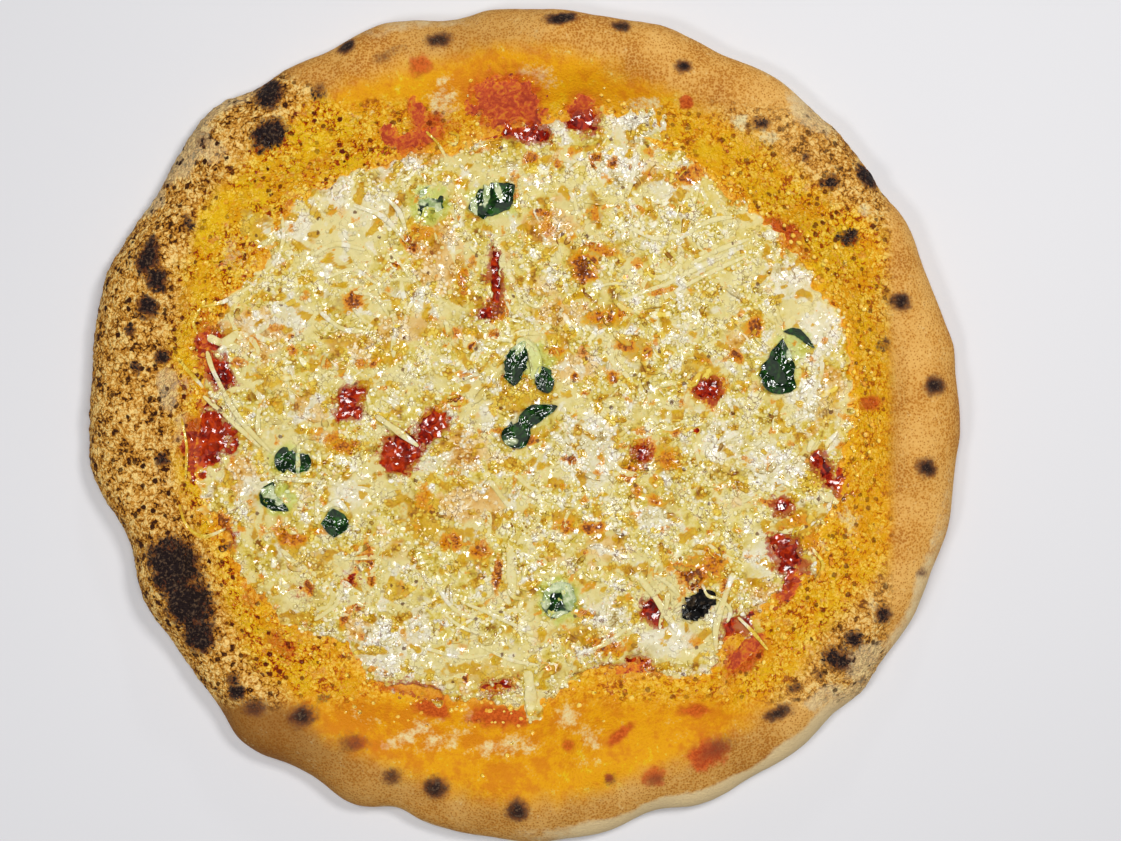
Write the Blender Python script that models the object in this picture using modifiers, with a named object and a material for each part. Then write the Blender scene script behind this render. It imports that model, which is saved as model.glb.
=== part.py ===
# A round provolone pizza with a puffed, scorched rim: a dough crust, a layer of tomato sauce that shows
# through gaps in the cheese, a sheet of melted cheese with shreds of provolone on it, and torn basil leaves.
# Units are metres, +Z is up. The sole of the crust lies on z = 0, and the middle of the pizza's own
# bounding box is over the origin. An angle is counted from +X towards +Y, in degrees.
import math
import random

import bmesh
import bpy
import numpy as np
from mathutils import Matrix
from mathutils.bvhtree import BVHTree

# The crust. Its rim runs from its foot, where the flat base ends, over its crest to its widest line.
EDGE_RADIUS = 0.151
FOOT_RADIUS = 0.113
BASE_THICKNESS = 0.004
CREST_HEIGHT = 0.0185
CREST_SHARE = 0.56
WIDEST_HEIGHT = 0.0072
SOLE_TUCK = 0.0075
RIM_STEPS = 120

# The layers that lie on the base
LAYER_GAP = 0.0004
SLOPE_CLEARANCE = 0.08
SAUCE_THICKNESS = 0.0012
SAUCE_STEPS = 64
CHEESE_THICKNESS = 0.0026
CHEESE_STEPS = 96

# (degrees, half width in degrees, metres outwards): puffs and pinches of the rim's outline
EDGE_PUFFS = (
    (10, 3, 0.0010), (22, 6, -0.0010), (32, 5, -0.0018), (54, 9, 0.0024), (99, 4, -0.0026),
    (118, 6, -0.0026), (135, 5, 0.0036), (148, 4, -0.0026), (166, 8, 0.0018), (183, 6, 0.0015),
    (197, 7, -0.0046), (229, 6, 0.0032), (246, 4, 0.0018), (252, 3, -0.0020), (262, 4, 0.0014),
    (288, 5, -0.0030), (317, 3, -0.0014), (332, 8, 0.0024),
)
# The same for the line where the rim starts to rise, and for the cheese's edge
FOOT_PUFFS = (
    (48, 12, -0.0035), (77, 12, 0.0050), (210, 14, 0.0028), (287, 12, -0.0035), (308, 10, 0.0040),
)
CHEESE_PUFFS = (
    (42, 12, -0.0035), (75, 9, 0.0070), (105, 8, -0.0045), (135, 9, 0.0035), (150, 6, -0.0030),
    (208, 12, 0.0030), (230, 8, -0.0050), (242, 6, 0.0030), (287, 9, -0.0075), (306, 6, 0.0080),
)
# The same for where the sauce runs past the foot, up the rim's inner slope
SAUCE_PUFFS = (
    (79, 6, 0.0040), (94, 9, 0.0095), (108, 6, 0.0040), (167, 9, 0.0020), (186, 7, 0.0020), (264, 9, 0.0030),
)
# (degrees, half width in degrees, metres upwards): high and low stretches of the rim's crest
CREST_PUFFS = (
    (20, 12, 0.0012), (60, 16, -0.0014), (135, 10, 0.0022), (172, 20, 0.0024),
    (206, 9, 0.0016), (243, 14, -0.0012), (276, 12, 0.0010), (325, 14, 0.0018),
)

# (degrees, distance from the middle, half length along the rim, half width across it, height) of the
# scorched blisters
BLISTERS = (
    (206, 0.1335, 0.0170, 0.0080, 0.0024), (157, 0.1430, 0.0100, 0.0060, 0.0015),
    (127, 0.1460, 0.0060, 0.0050, 0.0013), (131, 0.1360, 0.0065, 0.0050, 0.0015),
    (30, 0.1330, 0.0050, 0.0045, 0.0013), (38, 0.1378, 0.0050, 0.0045, 0.0012),
    (35.6, 0.1485, 0.0045, 0.0040, 0.0018), (323, 0.1392, 0.0085, 0.0065, 0.0020),
    (327.5, 0.1385, 0.0045, 0.0045, 0.0013), (332.3, 0.1436, 0.0050, 0.0050, 0.0013),
    (233, 0.1293, 0.0050, 0.0042, 0.0010), (223, 0.1376, 0.0060, 0.0050, 0.0012),
    (256.8, 0.1324, 0.0050, 0.0050, 0.0012), (269.4, 0.1356, 0.0050, 0.0042, 0.0012),
    (301, 0.1335, 0.0110, 0.0055, 0.0010), (5.3, 0.1458, 0.0045, 0.0045, 0.0010),
    (354, 0.1428, 0.0050, 0.0042, 0.0010), (18.5, 0.1389, 0.0050, 0.0042, 0.0010),
    (52.7, 0.1338, 0.0060, 0.0040, 0.0010), (163, 0.1380, 0.0050, 0.0050, 0.0012),
    (149, 0.1400, 0.0070, 0.0060, 0.0016), (85, 0.1420, 0.0070, 0.0055, 0.0010),
)

# (x, y, half length, half width, turn in degrees): where the sauce shows through the cheese or beside it
SAUCE_GAPS = (
    (-0.0385, -0.0057, 0.0135, 0.0065, 50), (-0.0618, 0.0075, 0.0060, 0.0045, 60),
    (-0.0096, 0.0493, 0.0140, 0.0024, 92), (0.0951, -0.0483, 0.0130, 0.0045, -80),
    (0.0774, -0.0756, 0.0080, 0.0050, 30), (0.0472, -0.0678, 0.0045, 0.0032, -60),
    (0.0667, 0.0128, 0.0042, 0.0038, 0), (0.0234, 0.0554, 0.0060, 0.0040, -60),
    (-0.0060, 0.1125, 0.0160, 0.0085, 0), (0.0230, 0.1108, 0.0080, 0.0060, 90),
    (-0.0327, 0.1044, 0.0110, 0.0050, 30), (-0.1118, -0.0110, 0.0120, 0.0070, 80),
    (-0.1090, 0.0185, 0.0070, 0.0045, -60), (0.1111, -0.0181, 0.0070, 0.0032, -60),
)
GAP_WAVES = 0.14
GAP_SIDES = 18
CUTTER_BOTTOM = 0.003
CUTTER_TOP = 0.015
LEAST_LUMPY_GAP = 0.004
LUMP_RADIUS = 0.0021
LUMPS_PER_GAP = 3

# name: (x, y, length, width, turn in degrees, how pointed its tip is, curl)
BASIL_LEAVES = {
    "basil_leaf_top": (-0.0103, 0.0795, 0.0185, 0.0115, 15, 0.5, 0.0008),
    "basil_leaf_under_cheese": (-0.0327, 0.0795, 0.0130, 0.0100, 110, 0.6, 0.0006),
    "basil_leaf_middle_left": (-0.0013, 0.0205, 0.0155, 0.0085, 75, 0.4, 0.0009),
    "basil_leaf_middle_right": (0.0078, 0.0158, 0.0112, 0.0068, 105, 0.5, 0.0010),
    "basil_leaf_middle_low": (0.0032, 0.0005, 0.0215, 0.0085, 38, 0.3, 0.0014),
    "basil_leaf_right": (0.0916, 0.0195, 0.0175, 0.0135, 72, 0.9, 0.0012),
    "basil_leaf_right_folded": (0.0990, 0.0300, 0.0115, 0.0034, -30, 0.2, 0.0012),
    "basil_leaf_left": (-0.0828, -0.0131, 0.0125, 0.0088, 0, 0.2, 0.0008),
    "basil_leaf_left_low": (-0.0880, -0.0270, 0.0120, 0.0072, -50, 0.8, 0.0007),
    "basil_leaf_left_square": (-0.0663, -0.0348, 0.0115, 0.0092, 45, 0.8, 0.0008),
    "basil_leaf_bottom": (0.0135, -0.0628, 0.0140, 0.0110, 60, 0.5, 0.0006),
    "burnt_basil_leaf": (0.0632, -0.0636, 0.0125, 0.0085, 25, 0.3, 0.0014),
}
LEAF_THICKNESS = 0.0006
LEAF_CLEARANCE = 0.0006
LEAF_CELLS = (5, 3)

# Provolone on the melted sheet: long shreds, and grated grains that haven't quite melted
SHRED_COUNT = 30
SHRED_LENGTHS = (0.010, 0.024)
SHRED_WIDTH = 0.0016
SHRED_RISE = 0.0006
SHRED_DEPTH = 0.0014
SHRED_CELLS = 4
GRAIN_COUNT = 26
GRAIN_RADII = (0.0012, 0.0021)
TOPPING_MARGIN = 0.0035
SEED = 7

CRUST_COLOUR = (0.60, 0.34, 0.11)
SAUCE_COLOUR = (0.50, 0.055, 0.012)
CHEESE_COLOUR = (0.86, 0.72, 0.36)
BASIL_COLOUR = (0.010, 0.040, 0.012)
BURNT_COLOUR = (0.006, 0.006, 0.007)


# --- Outlines and heights, as functions of the angle in radians ---

def puffs(angle, table):
    """The sum of bell-shaped puffs round the pizza."""
    total = np.zeros_like(angle)
    for at, half_width, height in table:
        away = (np.degrees(angle) - at + 180) % 360 - 180
        total += height * np.exp(-((away / half_width) ** 2))
    return total


def edge_radius(angle):
    """The rim's widest line: a slightly oval circle with puffs and pinches."""
    oval = 0.0031 * np.cos(2 * angle) - 0.0019 * np.sin(2 * angle)
    skew = 0.0012 * np.cos(angle) + 0.0016 * np.sin(angle) + 0.0012 * np.sin(3 * angle)
    return EDGE_RADIUS + oval + skew + puffs(angle, EDGE_PUFFS)


def foot_radius(angle):
    """Where the flat base ends and the rim starts to rise."""
    oval = 0.0055 * np.cos(2 * angle) + 0.0016 * np.sin(2 * angle)
    skew = 0.0014 * np.cos(angle) + 0.0025 * np.sin(angle)
    return FOOT_RADIUS + oval + skew + puffs(angle, FOOT_PUFFS)


def cheese_radius(angle):
    """The cheese's uneven edge, which stays on the flat base."""
    oval = 0.0069 * np.cos(2 * angle) + 0.0021 * np.sin(2 * angle)
    skew = 0.0009 * np.cos(angle) + 0.0032 * np.sin(angle)
    ragged = 0.0008 * np.sin(17 * angle + 0.4) + 0.0006 * np.sin(29 * angle + 2.0)
    spread = 0.1086 + oval + skew + ragged + puffs(angle, CHEESE_PUFFS)
    return np.minimum(spread, foot_radius(angle) - 0.001)


def sauce_radius(angle):
    """The sauce ends at the rim's foot, and runs up the slope in places."""
    ragged = 0.0006 * np.sin(13 * angle + 1.0) + 0.0004 * np.sin(31 * angle)
    return foot_radius(angle) + 0.0004 + ragged + puffs(angle, SAUCE_PUFFS)


def crest_height(angle):
    """The height of the rim's crest."""
    return CREST_HEIGHT + 0.0006 * np.sin(5 * angle + 1.1) + puffs(angle, CREST_PUFFS)


def slope(share):
    """How much of the crest's height is reached at a share of the way from the foot to the crest."""
    return np.sin(np.pi / 2 * np.clip(share, 0, 1) ** 0.9) ** 1.7


def rim_relief(angle, radius):
    """Uneven swelling of the rim, with its blisters, as a height along the surface's normal."""
    across = radius / EDGE_RADIUS
    swell = 0.0007 * np.sin(9 * angle + 9 * across) + 0.0005 * np.sin(16 * angle - 14 * across + 2)
    swell += 0.0004 * np.sin(27 * angle + 31 * across + 1)
    for at, distance, half_along, half_across, height in BLISTERS:
        along = radius * np.radians((np.degrees(angle) - at + 180) % 360 - 180)
        reach = (along / half_along) ** 2 + ((radius - distance) / half_across) ** 2
        swell += height * np.exp(-reach)
    return swell


def cheese_top(x, y):
    """The melted sheet's upper surface, away from its edge."""
    relief = np.sin(190 * x + 1) * np.sin(170 * y) + 0.7 * np.sin(230 * x - 180 * y + 2)
    relief += 0.5 * np.sin(140 * x + 260 * y)
    sheet = BASE_THICKNESS + 2 * LAYER_GAP + SAUCE_THICKNESS + CHEESE_THICKNESS
    return sheet + 0.00028 * relief


# --- Making and joining meshes ---

def finish(obj, colour, roughness):
    """Gives a piece its material and smooth shading."""
    material = bpy.data.materials.new(obj.name)
    material.use_nodes = True
    shader = material.node_tree.nodes["Principled BSDF"]
    shader.inputs["Base Color"].default_value = (*colour, 1)
    shader.inputs["Roughness"].default_value = roughness
    obj.data.materials.clear()
    obj.data.materials.append(material)
    obj.data.shade_smooth()
    obj.data.set_sharp_from_angle(angle=math.radians(50))


def as_mesh(obj):
    """Replaces an object with modifiers by a plain mesh object of the same name."""
    graph = bpy.context.evaluated_depsgraph_get()
    mesh = bpy.data.meshes.new_from_object(obj.evaluated_get(graph))
    name, collection = obj.name, obj.users_collection[0]
    bpy.data.objects.remove(obj)
    mesh.name = name
    plain = bpy.data.objects.new(name, mesh)
    collection.objects.link(plain)
    return plain


def turned(name, profile, steps, collection):
    """A solid of revolution. Its profile runs from the axis over the top and the outer side to the axis."""
    mesh = bpy.data.meshes.new(name)
    mesh.from_pydata([(r, 0, z) for r, z in profile], [(i, i + 1) for i in range(len(profile) - 1)], [])
    obj = bpy.data.objects.new(name, mesh)
    collection.objects.link(obj)
    screw = obj.modifiers.new("Screw", "SCREW")
    screw.steps = screw.render_steps = steps
    screw.use_merge_vertices = True
    screw.merge_threshold = 0.00001
    bpy.context.view_layer.update()
    return as_mesh(obj)


def reshape(obj, rule):
    """Moves each vertex to where rule(x, y, z) puts it."""
    count = len(obj.data.vertices)
    points = np.empty(count * 3)
    obj.data.vertices.foreach_get("co", points)
    moved = np.stack(rule(*points.reshape(count, 3).T), axis=1)
    obj.data.vertices.foreach_set("co", moved.ravel())
    obj.data.update()


def swell(obj, amount):
    """Moves each vertex along its normal by amount(x, y, z)."""
    count = len(obj.data.vertices)
    points = np.empty(count * 3)
    normals = np.empty(count * 3)
    obj.data.vertices.foreach_get("co", points)
    obj.data.vertex_normals.foreach_get("vector", normals)
    points = points.reshape(count, 3)
    points += normals.reshape(count, 3) * amount(*points.T)[:, None]
    obj.data.vertices.foreach_set("co", points.ravel())
    obj.data.update()


def boolean(obj, operation, collection):
    """Cuts or joins an object with all that a collection holds, and removes those objects."""
    modifier = obj.modifiers.new(operation, "BOOLEAN")
    modifier.operation = operation
    modifier.operand_type = "COLLECTION"
    modifier.collection = collection
    modifier.solver = "MANIFOLD"
    bpy.context.view_layer.update()
    obj = as_mesh(obj)
    for piece in list(collection.objects):
        bpy.data.objects.remove(piece)
    bpy.data.collections.remove(collection)
    return obj


def new_collection(name):
    collection = bpy.data.collections.new(name)
    bpy.context.scene.collection.children.link(collection)
    return collection


def object_from(name, shape, collection):
    """A mesh object from a bmesh, which is freed."""
    mesh = bpy.data.meshes.new(name)
    shape.to_mesh(mesh)
    shape.free()
    obj = bpy.data.objects.new(name, mesh)
    collection.objects.link(obj)
    return obj


# --- The crust ---

def crust_profile():
    """The blank's profile before it is shaped: base, inner slope, crest, outer side and tucked-in sole."""
    rim = EDGE_RADIUS - FOOT_RADIUS
    crest_at = FOOT_RADIUS + CREST_SHARE * rim
    points = [(0, BASE_THICKNESS), (0.6 * FOOT_RADIUS, BASE_THICKNESS), (FOOT_RADIUS, BASE_THICKNESS)]
    for i in range(1, 9):
        share = i / 8
        points.append((FOOT_RADIUS + share * (crest_at - FOOT_RADIUS),
                       BASE_THICKNESS + (CREST_HEIGHT - BASE_THICKNESS) * float(slope(share))))
    for i in range(1, 7):
        turn = math.radians(15 * i)
        points.append((crest_at + (EDGE_RADIUS - crest_at) * math.sin(turn),
                       WIDEST_HEIGHT + (CREST_HEIGHT - WIDEST_HEIGHT) * math.cos(turn)))
    for i in range(1, 4):
        turn = math.radians(30 * i)
        points.append((EDGE_RADIUS - SOLE_TUCK * (1 - math.cos(turn)), WIDEST_HEIGHT * (1 - math.sin(turn))))
    points.append((0, 0))
    return points


def shape_crust(x, y, z):
    """Turns the round blank into the pizza's own outline, with a crest that rises and falls."""
    angle = np.arctan2(y, x)
    radius = np.hypot(x, y)
    foot = foot_radius(angle)
    share = (radius - FOOT_RADIUS) / (EDGE_RADIUS - FOOT_RADIUS)
    shaped = np.where(share > 0, foot + share * (edge_radius(angle) - foot), radius * foot / FOOT_RADIUS)
    lift = (z - BASE_THICKNESS) / (CREST_HEIGHT - BASE_THICKNESS)
    raised = z + np.clip(lift, 0, 1) * (crest_height(angle) - CREST_HEIGHT)
    return shaped * np.cos(angle), shaped * np.sin(angle), raised


def crust_relief(x, y, z):
    """Swelling of the rim's skin. It fades out at the rim's foot and towards the sole."""
    angle = np.arctan2(y, x)
    radius = np.hypot(x, y)
    climb = np.clip((radius - foot_radius(angle) - 0.001) / 0.010, 0, 1)
    above_sole = np.clip((z - 0.001) / 0.006, 0, 1)
    return rim_relief(angle, radius) * climb * above_sole


def make_crust(collection):
    crust = turned("crust", crust_profile(), RIM_STEPS, collection)
    reshape(crust, shape_crust)
    swell(crust, crust_relief)
    finish(crust, CRUST_COLOUR, 0.75)
    return crust


# --- The sauce ---

def sauce_profile():
    """Flat disc of sauce that thins out at its edge. Its outer radius is 1, and its heights are real."""
    top = SAUCE_THICKNESS
    upper = [(0, top), (0.5, top), (0.9, top), (0.955, 0.9 * top), (0.985, 0.6 * top), (1, 0.3 * top)]
    return upper + [(0.985, 0), (0.955, 0), (0.9, 0), (0, 0)]


def height_of(obj):
    """A function that gives the height of an object's upper surface over a point of the plane."""
    tree = BVHTree.FromObject(obj, bpy.context.evaluated_depsgraph_get())

    def height(x, y):
        place, *_ = tree.ray_cast((x, y, 1), (0, 0, -1))
        return place.z

    return height


def sauce_shaper(crust_height):
    """The rule that spreads the disc to the sauce's outline and lays it on the crust."""
    def shape_sauce(x, y, z):
        angle = np.arctan2(y, x)
        radius = np.hypot(x, y) * sauce_radius(angle)
        spread_x = radius * np.cos(angle)
        spread_y = radius * np.sin(angle)
        crust = np.array([crust_height(*point) for point in zip(spread_x, spread_y)])
        climb = SLOPE_CLEARANCE * np.clip(radius - foot_radius(angle), 0, 1)
        return spread_x, spread_y, crust + LAYER_GAP + climb + z

    return shape_sauce


def sauce_lumps(collection, crust_height, draw):
    """Crushed tomato that stands up in the larger gaps of the cheese."""
    for number, (x, y, half_length, half_width, turn) in enumerate(SAUCE_GAPS):
        if half_width < LEAST_LUMPY_GAP:
            continue
        for lump in range(LUMPS_PER_GAP):
            along = (half_length - 1.3 * LUMP_RADIUS) * (2 * (lump + 0.5) / LUMPS_PER_GAP - 1) * 0.8
            across = (half_width - 1.4 * LUMP_RADIUS) * draw.uniform(-0.5, 0.5)
            turned_by = math.radians(turn)
            at_x = x + along * math.cos(turned_by) - across * math.sin(turned_by)
            at_y = y + along * math.sin(turned_by) + across * math.cos(turned_by)
            angle = np.array(math.atan2(at_y, at_x))
            reach = math.hypot(at_x, at_y)
            if reach > sauce_radius(angle) - 1.5 * LUMP_RADIUS:
                continue
            surface = crust_height(at_x, at_y) + LAYER_GAP + SAUCE_THICKNESS
            ball = bmesh.new()
            bmesh.ops.create_icosphere(ball, subdivisions=1, radius=LUMP_RADIUS * draw.uniform(0.75, 1.05))
            bmesh.ops.scale(ball, vec=(1, draw.uniform(0.7, 1.0), 0.45), verts=ball.verts)
            spin = Matrix.Rotation(draw.uniform(0, math.pi), 3, "Z")
            bmesh.ops.rotate(ball, cent=(0, 0, 0), matrix=spin, verts=ball.verts)
            bmesh.ops.translate(ball, vec=(at_x, at_y, surface + 0.0001), verts=ball.verts)
            object_from(f"lump_{number}_{lump}", ball, collection)


def make_sauce(collection, crust):
    crust_height = height_of(crust)
    sauce = turned("tomato_sauce", sauce_profile(), SAUCE_STEPS, collection)
    reshape(sauce, sauce_shaper(crust_height))
    lumps = new_collection("lumps")
    sauce_lumps(lumps, crust_height, random.Random(SEED))
    sauce = boolean(sauce, "UNION", lumps)
    finish(sauce, SAUCE_COLOUR, 0.3)


# --- The cheese ---

def cheese_profile():
    """The sheet's profile as shares of its radius and of its thickness, with a rounded edge."""
    top = [(share, 1) for share in (0, 0.2, 0.36, 0.5, 0.62, 0.73, 0.83, 0.92)]
    return top + [(0.97, 0.82), (1, 0.36), (0.992, 0), (0, 0)]


def shape_cheese(x, y, z):
    """Spreads the blank to the cheese's edge, flat below and uneven above."""
    angle = np.arctan2(y, x)
    radius = np.hypot(x, y) * cheese_radius(angle)
    spread_x = radius * np.cos(angle)
    spread_y = radius * np.sin(angle)
    under = BASE_THICKNESS + 2 * LAYER_GAP + SAUCE_THICKNESS
    return spread_x, spread_y, under + z * (cheese_top(spread_x, spread_y) - under)


def gap_cutter(name, gap, collection):
    """An upright prism through the sheet of cheese, with a gap's wavy oval outline."""
    x, y, half_length, half_width, turn = gap
    prism = bmesh.new()
    bmesh.ops.create_cone(prism, cap_ends=True, segments=GAP_SIDES, radius1=1, radius2=1, depth=1)
    for vertex in prism.verts:
        around = math.atan2(vertex.co.y, vertex.co.x)
        wavy = 1 + GAP_WAVES * math.sin(5 * around + 40 * x) + GAP_WAVES * math.sin(3 * around + 90 * y)
        vertex.co.x *= wavy * half_length
        vertex.co.y *= wavy * half_width
        vertex.co.z = CUTTER_TOP if vertex.co.z > 0 else CUTTER_BOTTOM
    spin = Matrix.Rotation(math.radians(turn), 3, "Z")
    bmesh.ops.rotate(prism, cent=(0, 0, 0), matrix=spin, verts=prism.verts)
    bmesh.ops.translate(prism, vec=(x, y, 0), verts=prism.verts)
    cutter = object_from(name, prism, collection)
    cutter.hide_render = True
    cutter.display_type = "WIRE"


def is_clear(x, y, reach):
    """Whether a topping of that reach stays on the cheese, off its gaps and off the basil."""
    angle = np.array(math.atan2(y, x))
    if math.hypot(x, y) + reach > cheese_radius(angle) * 0.93:
        return False
    for leaf_x, leaf_y, length, *_ in BASIL_LEAVES.values():
        if math.hypot(x - leaf_x, y - leaf_y) < reach + length / 2 + TOPPING_MARGIN / 2:
            return False
    for gap_x, gap_y, half_length, half_width, turn in SAUCE_GAPS:
        for along in (-0.6, 0, 0.6):
            spot_x = gap_x + along * half_length * math.cos(math.radians(turn))
            spot_y = gap_y + along * half_length * math.sin(math.radians(turn))
            if math.hypot(x - spot_x, y - spot_y) < reach + 1.2 * half_width + TOPPING_MARGIN / 2:
                return False
    return True


def nearest(spot, others):
    """The distance from a place to the nearest of others."""
    return min([math.dist(spot, other) for other in others], default=1)


def spread_evenly(count, reach, taken, draw):
    """Places for toppings. Each takes the one of several random places that is furthest from the others."""
    places = []
    for _ in range(count):
        tries = []
        while len(tries) < 8:
            distance = 0.115 * math.sqrt(draw.random())
            around = draw.uniform(0, 2 * math.pi)
            spot = (distance * math.cos(around), distance * math.sin(around))
            if is_clear(*spot, reach):
                tries.append(spot)
        places.append(max(tries, key=lambda spot: nearest(spot, taken + places)))
    return places


def make_shred(name, x, y, draw, collection):
    """A soft strip of provolone, bent in an arc and half sunk in the melted sheet."""
    length = draw.uniform(*SHRED_LENGTHS)
    bend = draw.uniform(-0.35, 0.35)
    turn = draw.uniform(0, math.pi)
    shape = bmesh.new()
    bmesh.ops.create_cube(shape, size=1)
    long_edges = [e for e in shape.edges if abs(e.verts[0].co.x - e.verts[1].co.x) > 0.5]
    bmesh.ops.subdivide_edges(shape, edges=long_edges, cuts=SHRED_CELLS - 1)
    for vertex in shape.verts:
        along, across, up = vertex.co
        narrowing = 1 - 0.5 * abs(2 * along) ** 4
        plan_x = along * length
        plan_y = bend * length * (along * along - 0.08) + across * SHRED_WIDTH * narrowing
        at_x = x + plan_x * math.cos(turn) - plan_y * math.sin(turn)
        at_y = y + plan_x * math.sin(turn) + plan_y * math.cos(turn)
        vertex.co = (at_x, at_y, float(cheese_top(at_x, at_y)) + (SHRED_RISE if up > 0 else -SHRED_DEPTH))
    object_from(name, shape, collection)


def make_grain(name, x, y, draw, collection):
    """A grated grain of provolone, half sunk in the melted sheet."""
    radius = draw.uniform(*GRAIN_RADII)
    shape = bmesh.new()
    bmesh.ops.create_icosphere(shape, subdivisions=1, radius=radius)
    bmesh.ops.scale(shape, vec=(1, draw.uniform(0.6, 1), 0.6), verts=shape.verts)
    spin = Matrix.Rotation(draw.uniform(0, math.pi), 3, "Z")
    bmesh.ops.rotate(shape, cent=(0, 0, 0), matrix=spin, verts=shape.verts)
    bmesh.ops.translate(shape, vec=(x, y, float(cheese_top(x, y)) + 0.1 * radius), verts=shape.verts)
    object_from(name, shape, collection)


def make_cheese(collection):
    cheese = turned("melted_cheese", cheese_profile(), CHEESE_STEPS, collection)
    reshape(cheese, shape_cheese)
    gaps = new_collection("gaps")
    for number, gap in enumerate(SAUCE_GAPS):
        gap_cutter(f"gap_{number}", gap, gaps)
    cheese = boolean(cheese, "DIFFERENCE", gaps)
    draw = random.Random(SEED)
    toppings = new_collection("toppings")
    shreds = spread_evenly(SHRED_COUNT, SHRED_LENGTHS[1] / 2.6, [], draw)
    for number, (x, y) in enumerate(shreds):
        make_shred(f"shred_{number}", x, y, draw, toppings)
    for number, (x, y) in enumerate(spread_evenly(GRAIN_COUNT, GRAIN_RADII[1], shreds, draw)):
        make_grain(f"grain_{number}", x, y, draw, toppings)
    cheese = boolean(cheese, "UNION", toppings)
    finish(cheese, CHEESE_COLOUR, 0.35)


# --- The basil ---

def make_leaf(name, leaf, collection):
    """A thin wavy leaf that follows the cheese under it, pointed at one end, with a curled edge."""
    x, y, length, width, turn, point, curl = leaf
    shape = bmesh.new()
    bmesh.ops.create_grid(shape, x_segments=LEAF_CELLS[0], y_segments=LEAF_CELLS[1], size=1)
    bmesh.ops.triangulate(shape, faces=shape.faces)
    for vertex in shape.verts:
        along, across = vertex.co.x, vertex.co.y
        # A square's sides are drawn in to an oval, and its tip further to a point.
        round_x = along * math.sqrt(1 - 0.45 * across * across)
        round_y = across * math.sqrt(1 - 0.55 * along * along) * (1 - 0.45 * point * (along + 1) / 2)
        plan_x = round_x * length / 2
        plan_y = round_y * width / 2
        at_x = x + plan_x * math.cos(math.radians(turn)) - plan_y * math.sin(math.radians(turn))
        at_y = y + plan_x * math.sin(math.radians(turn)) + plan_y * math.cos(math.radians(turn))
        wave = 0.5 + 0.5 * math.sin(4.2 * along + 3.1 * across + 60 * x)
        lift = curl * (0.45 * wave + 0.55 * across * across)
        vertex.co = (at_x, at_y, float(cheese_top(at_x, at_y)) + LEAF_CLEARANCE + lift)
    obj = object_from(name, shape, collection)
    solidify = obj.modifiers.new("Solidify", "SOLIDIFY")
    solidify.thickness = LEAF_THICKNESS
    solidify.offset = 1
    bpy.context.view_layer.update()
    obj = as_mesh(obj)
    burnt = name.startswith("burnt")
    finish(obj, BURNT_COLOUR if burnt else BASIL_COLOUR, 0.5 if burnt else 0.25)


def centre_pieces(collection, crust):
    """Parents the pieces to an empty that brings the middle of the crust's bounding box over the origin."""
    pieces = list(collection.objects)
    middle = bpy.data.objects.new("pizza_middle", None)
    collection.objects.link(middle)
    for piece in pieces:
        piece.parent = middle
    count = len(crust.data.vertices)
    points = np.empty(count * 3)
    crust.data.vertices.foreach_get("co", points)
    points = points.reshape(count, 3)
    middle_x, middle_y, _ = (points.min(axis=0) + points.max(axis=0)) / 2
    middle.location = (-middle_x, -middle_y, 0)


def main():
    for obj in list(bpy.data.objects):
        bpy.data.objects.remove(obj)
    pizza = new_collection("provolone_pizza")
    crust = make_crust(pizza)
    make_sauce(pizza, crust)
    make_cheese(pizza)
    for name, leaf in BASIL_LEAVES.items():
        make_leaf(name, leaf, pizza)
    centre_pieces(pizza, crust)


main()
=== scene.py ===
# Looks of a round provolone pizza: baked crust, tomato sauce, melted and grated cheese, basil.
# Shapes are worked out in millimetres round the pizza's own middle, x to the right and y up the picture,
# and put into the frame's metres when a mesh is made. Angles are counted from +x towards +y.
import math

import bpy
import numpy as np
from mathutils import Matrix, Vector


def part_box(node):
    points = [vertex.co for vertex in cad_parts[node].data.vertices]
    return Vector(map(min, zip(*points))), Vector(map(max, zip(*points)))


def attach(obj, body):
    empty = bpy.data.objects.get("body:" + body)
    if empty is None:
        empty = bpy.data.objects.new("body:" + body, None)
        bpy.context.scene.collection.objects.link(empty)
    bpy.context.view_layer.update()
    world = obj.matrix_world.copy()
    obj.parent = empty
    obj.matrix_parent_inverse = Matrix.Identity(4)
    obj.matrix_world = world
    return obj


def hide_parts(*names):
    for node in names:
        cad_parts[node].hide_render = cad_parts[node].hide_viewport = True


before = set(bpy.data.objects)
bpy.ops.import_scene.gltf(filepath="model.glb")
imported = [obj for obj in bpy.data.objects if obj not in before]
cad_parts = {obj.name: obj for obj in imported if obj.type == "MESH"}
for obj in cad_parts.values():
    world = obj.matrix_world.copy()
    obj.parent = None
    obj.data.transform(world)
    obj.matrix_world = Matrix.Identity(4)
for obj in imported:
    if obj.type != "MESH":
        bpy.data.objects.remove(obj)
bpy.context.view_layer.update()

print("frame loaded")


# Part: random fields, all on whole arrays

def smoothstep(low, high, value):
    # 0 below low, 1 above high, and an S-curve 3s^2 - 2s^3 between them
    s = np.clip((value - low) / (high - low), 0, 1)
    return s * s * (3 - 2 * s)


def lattice(base, order):
    # a number 0..255 for each lattice cell, the same for the same cell
    return order[(order[(order[base[..., 0] & 255] + base[..., 1]) & 255] + base[..., 2]) & 255]


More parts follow.
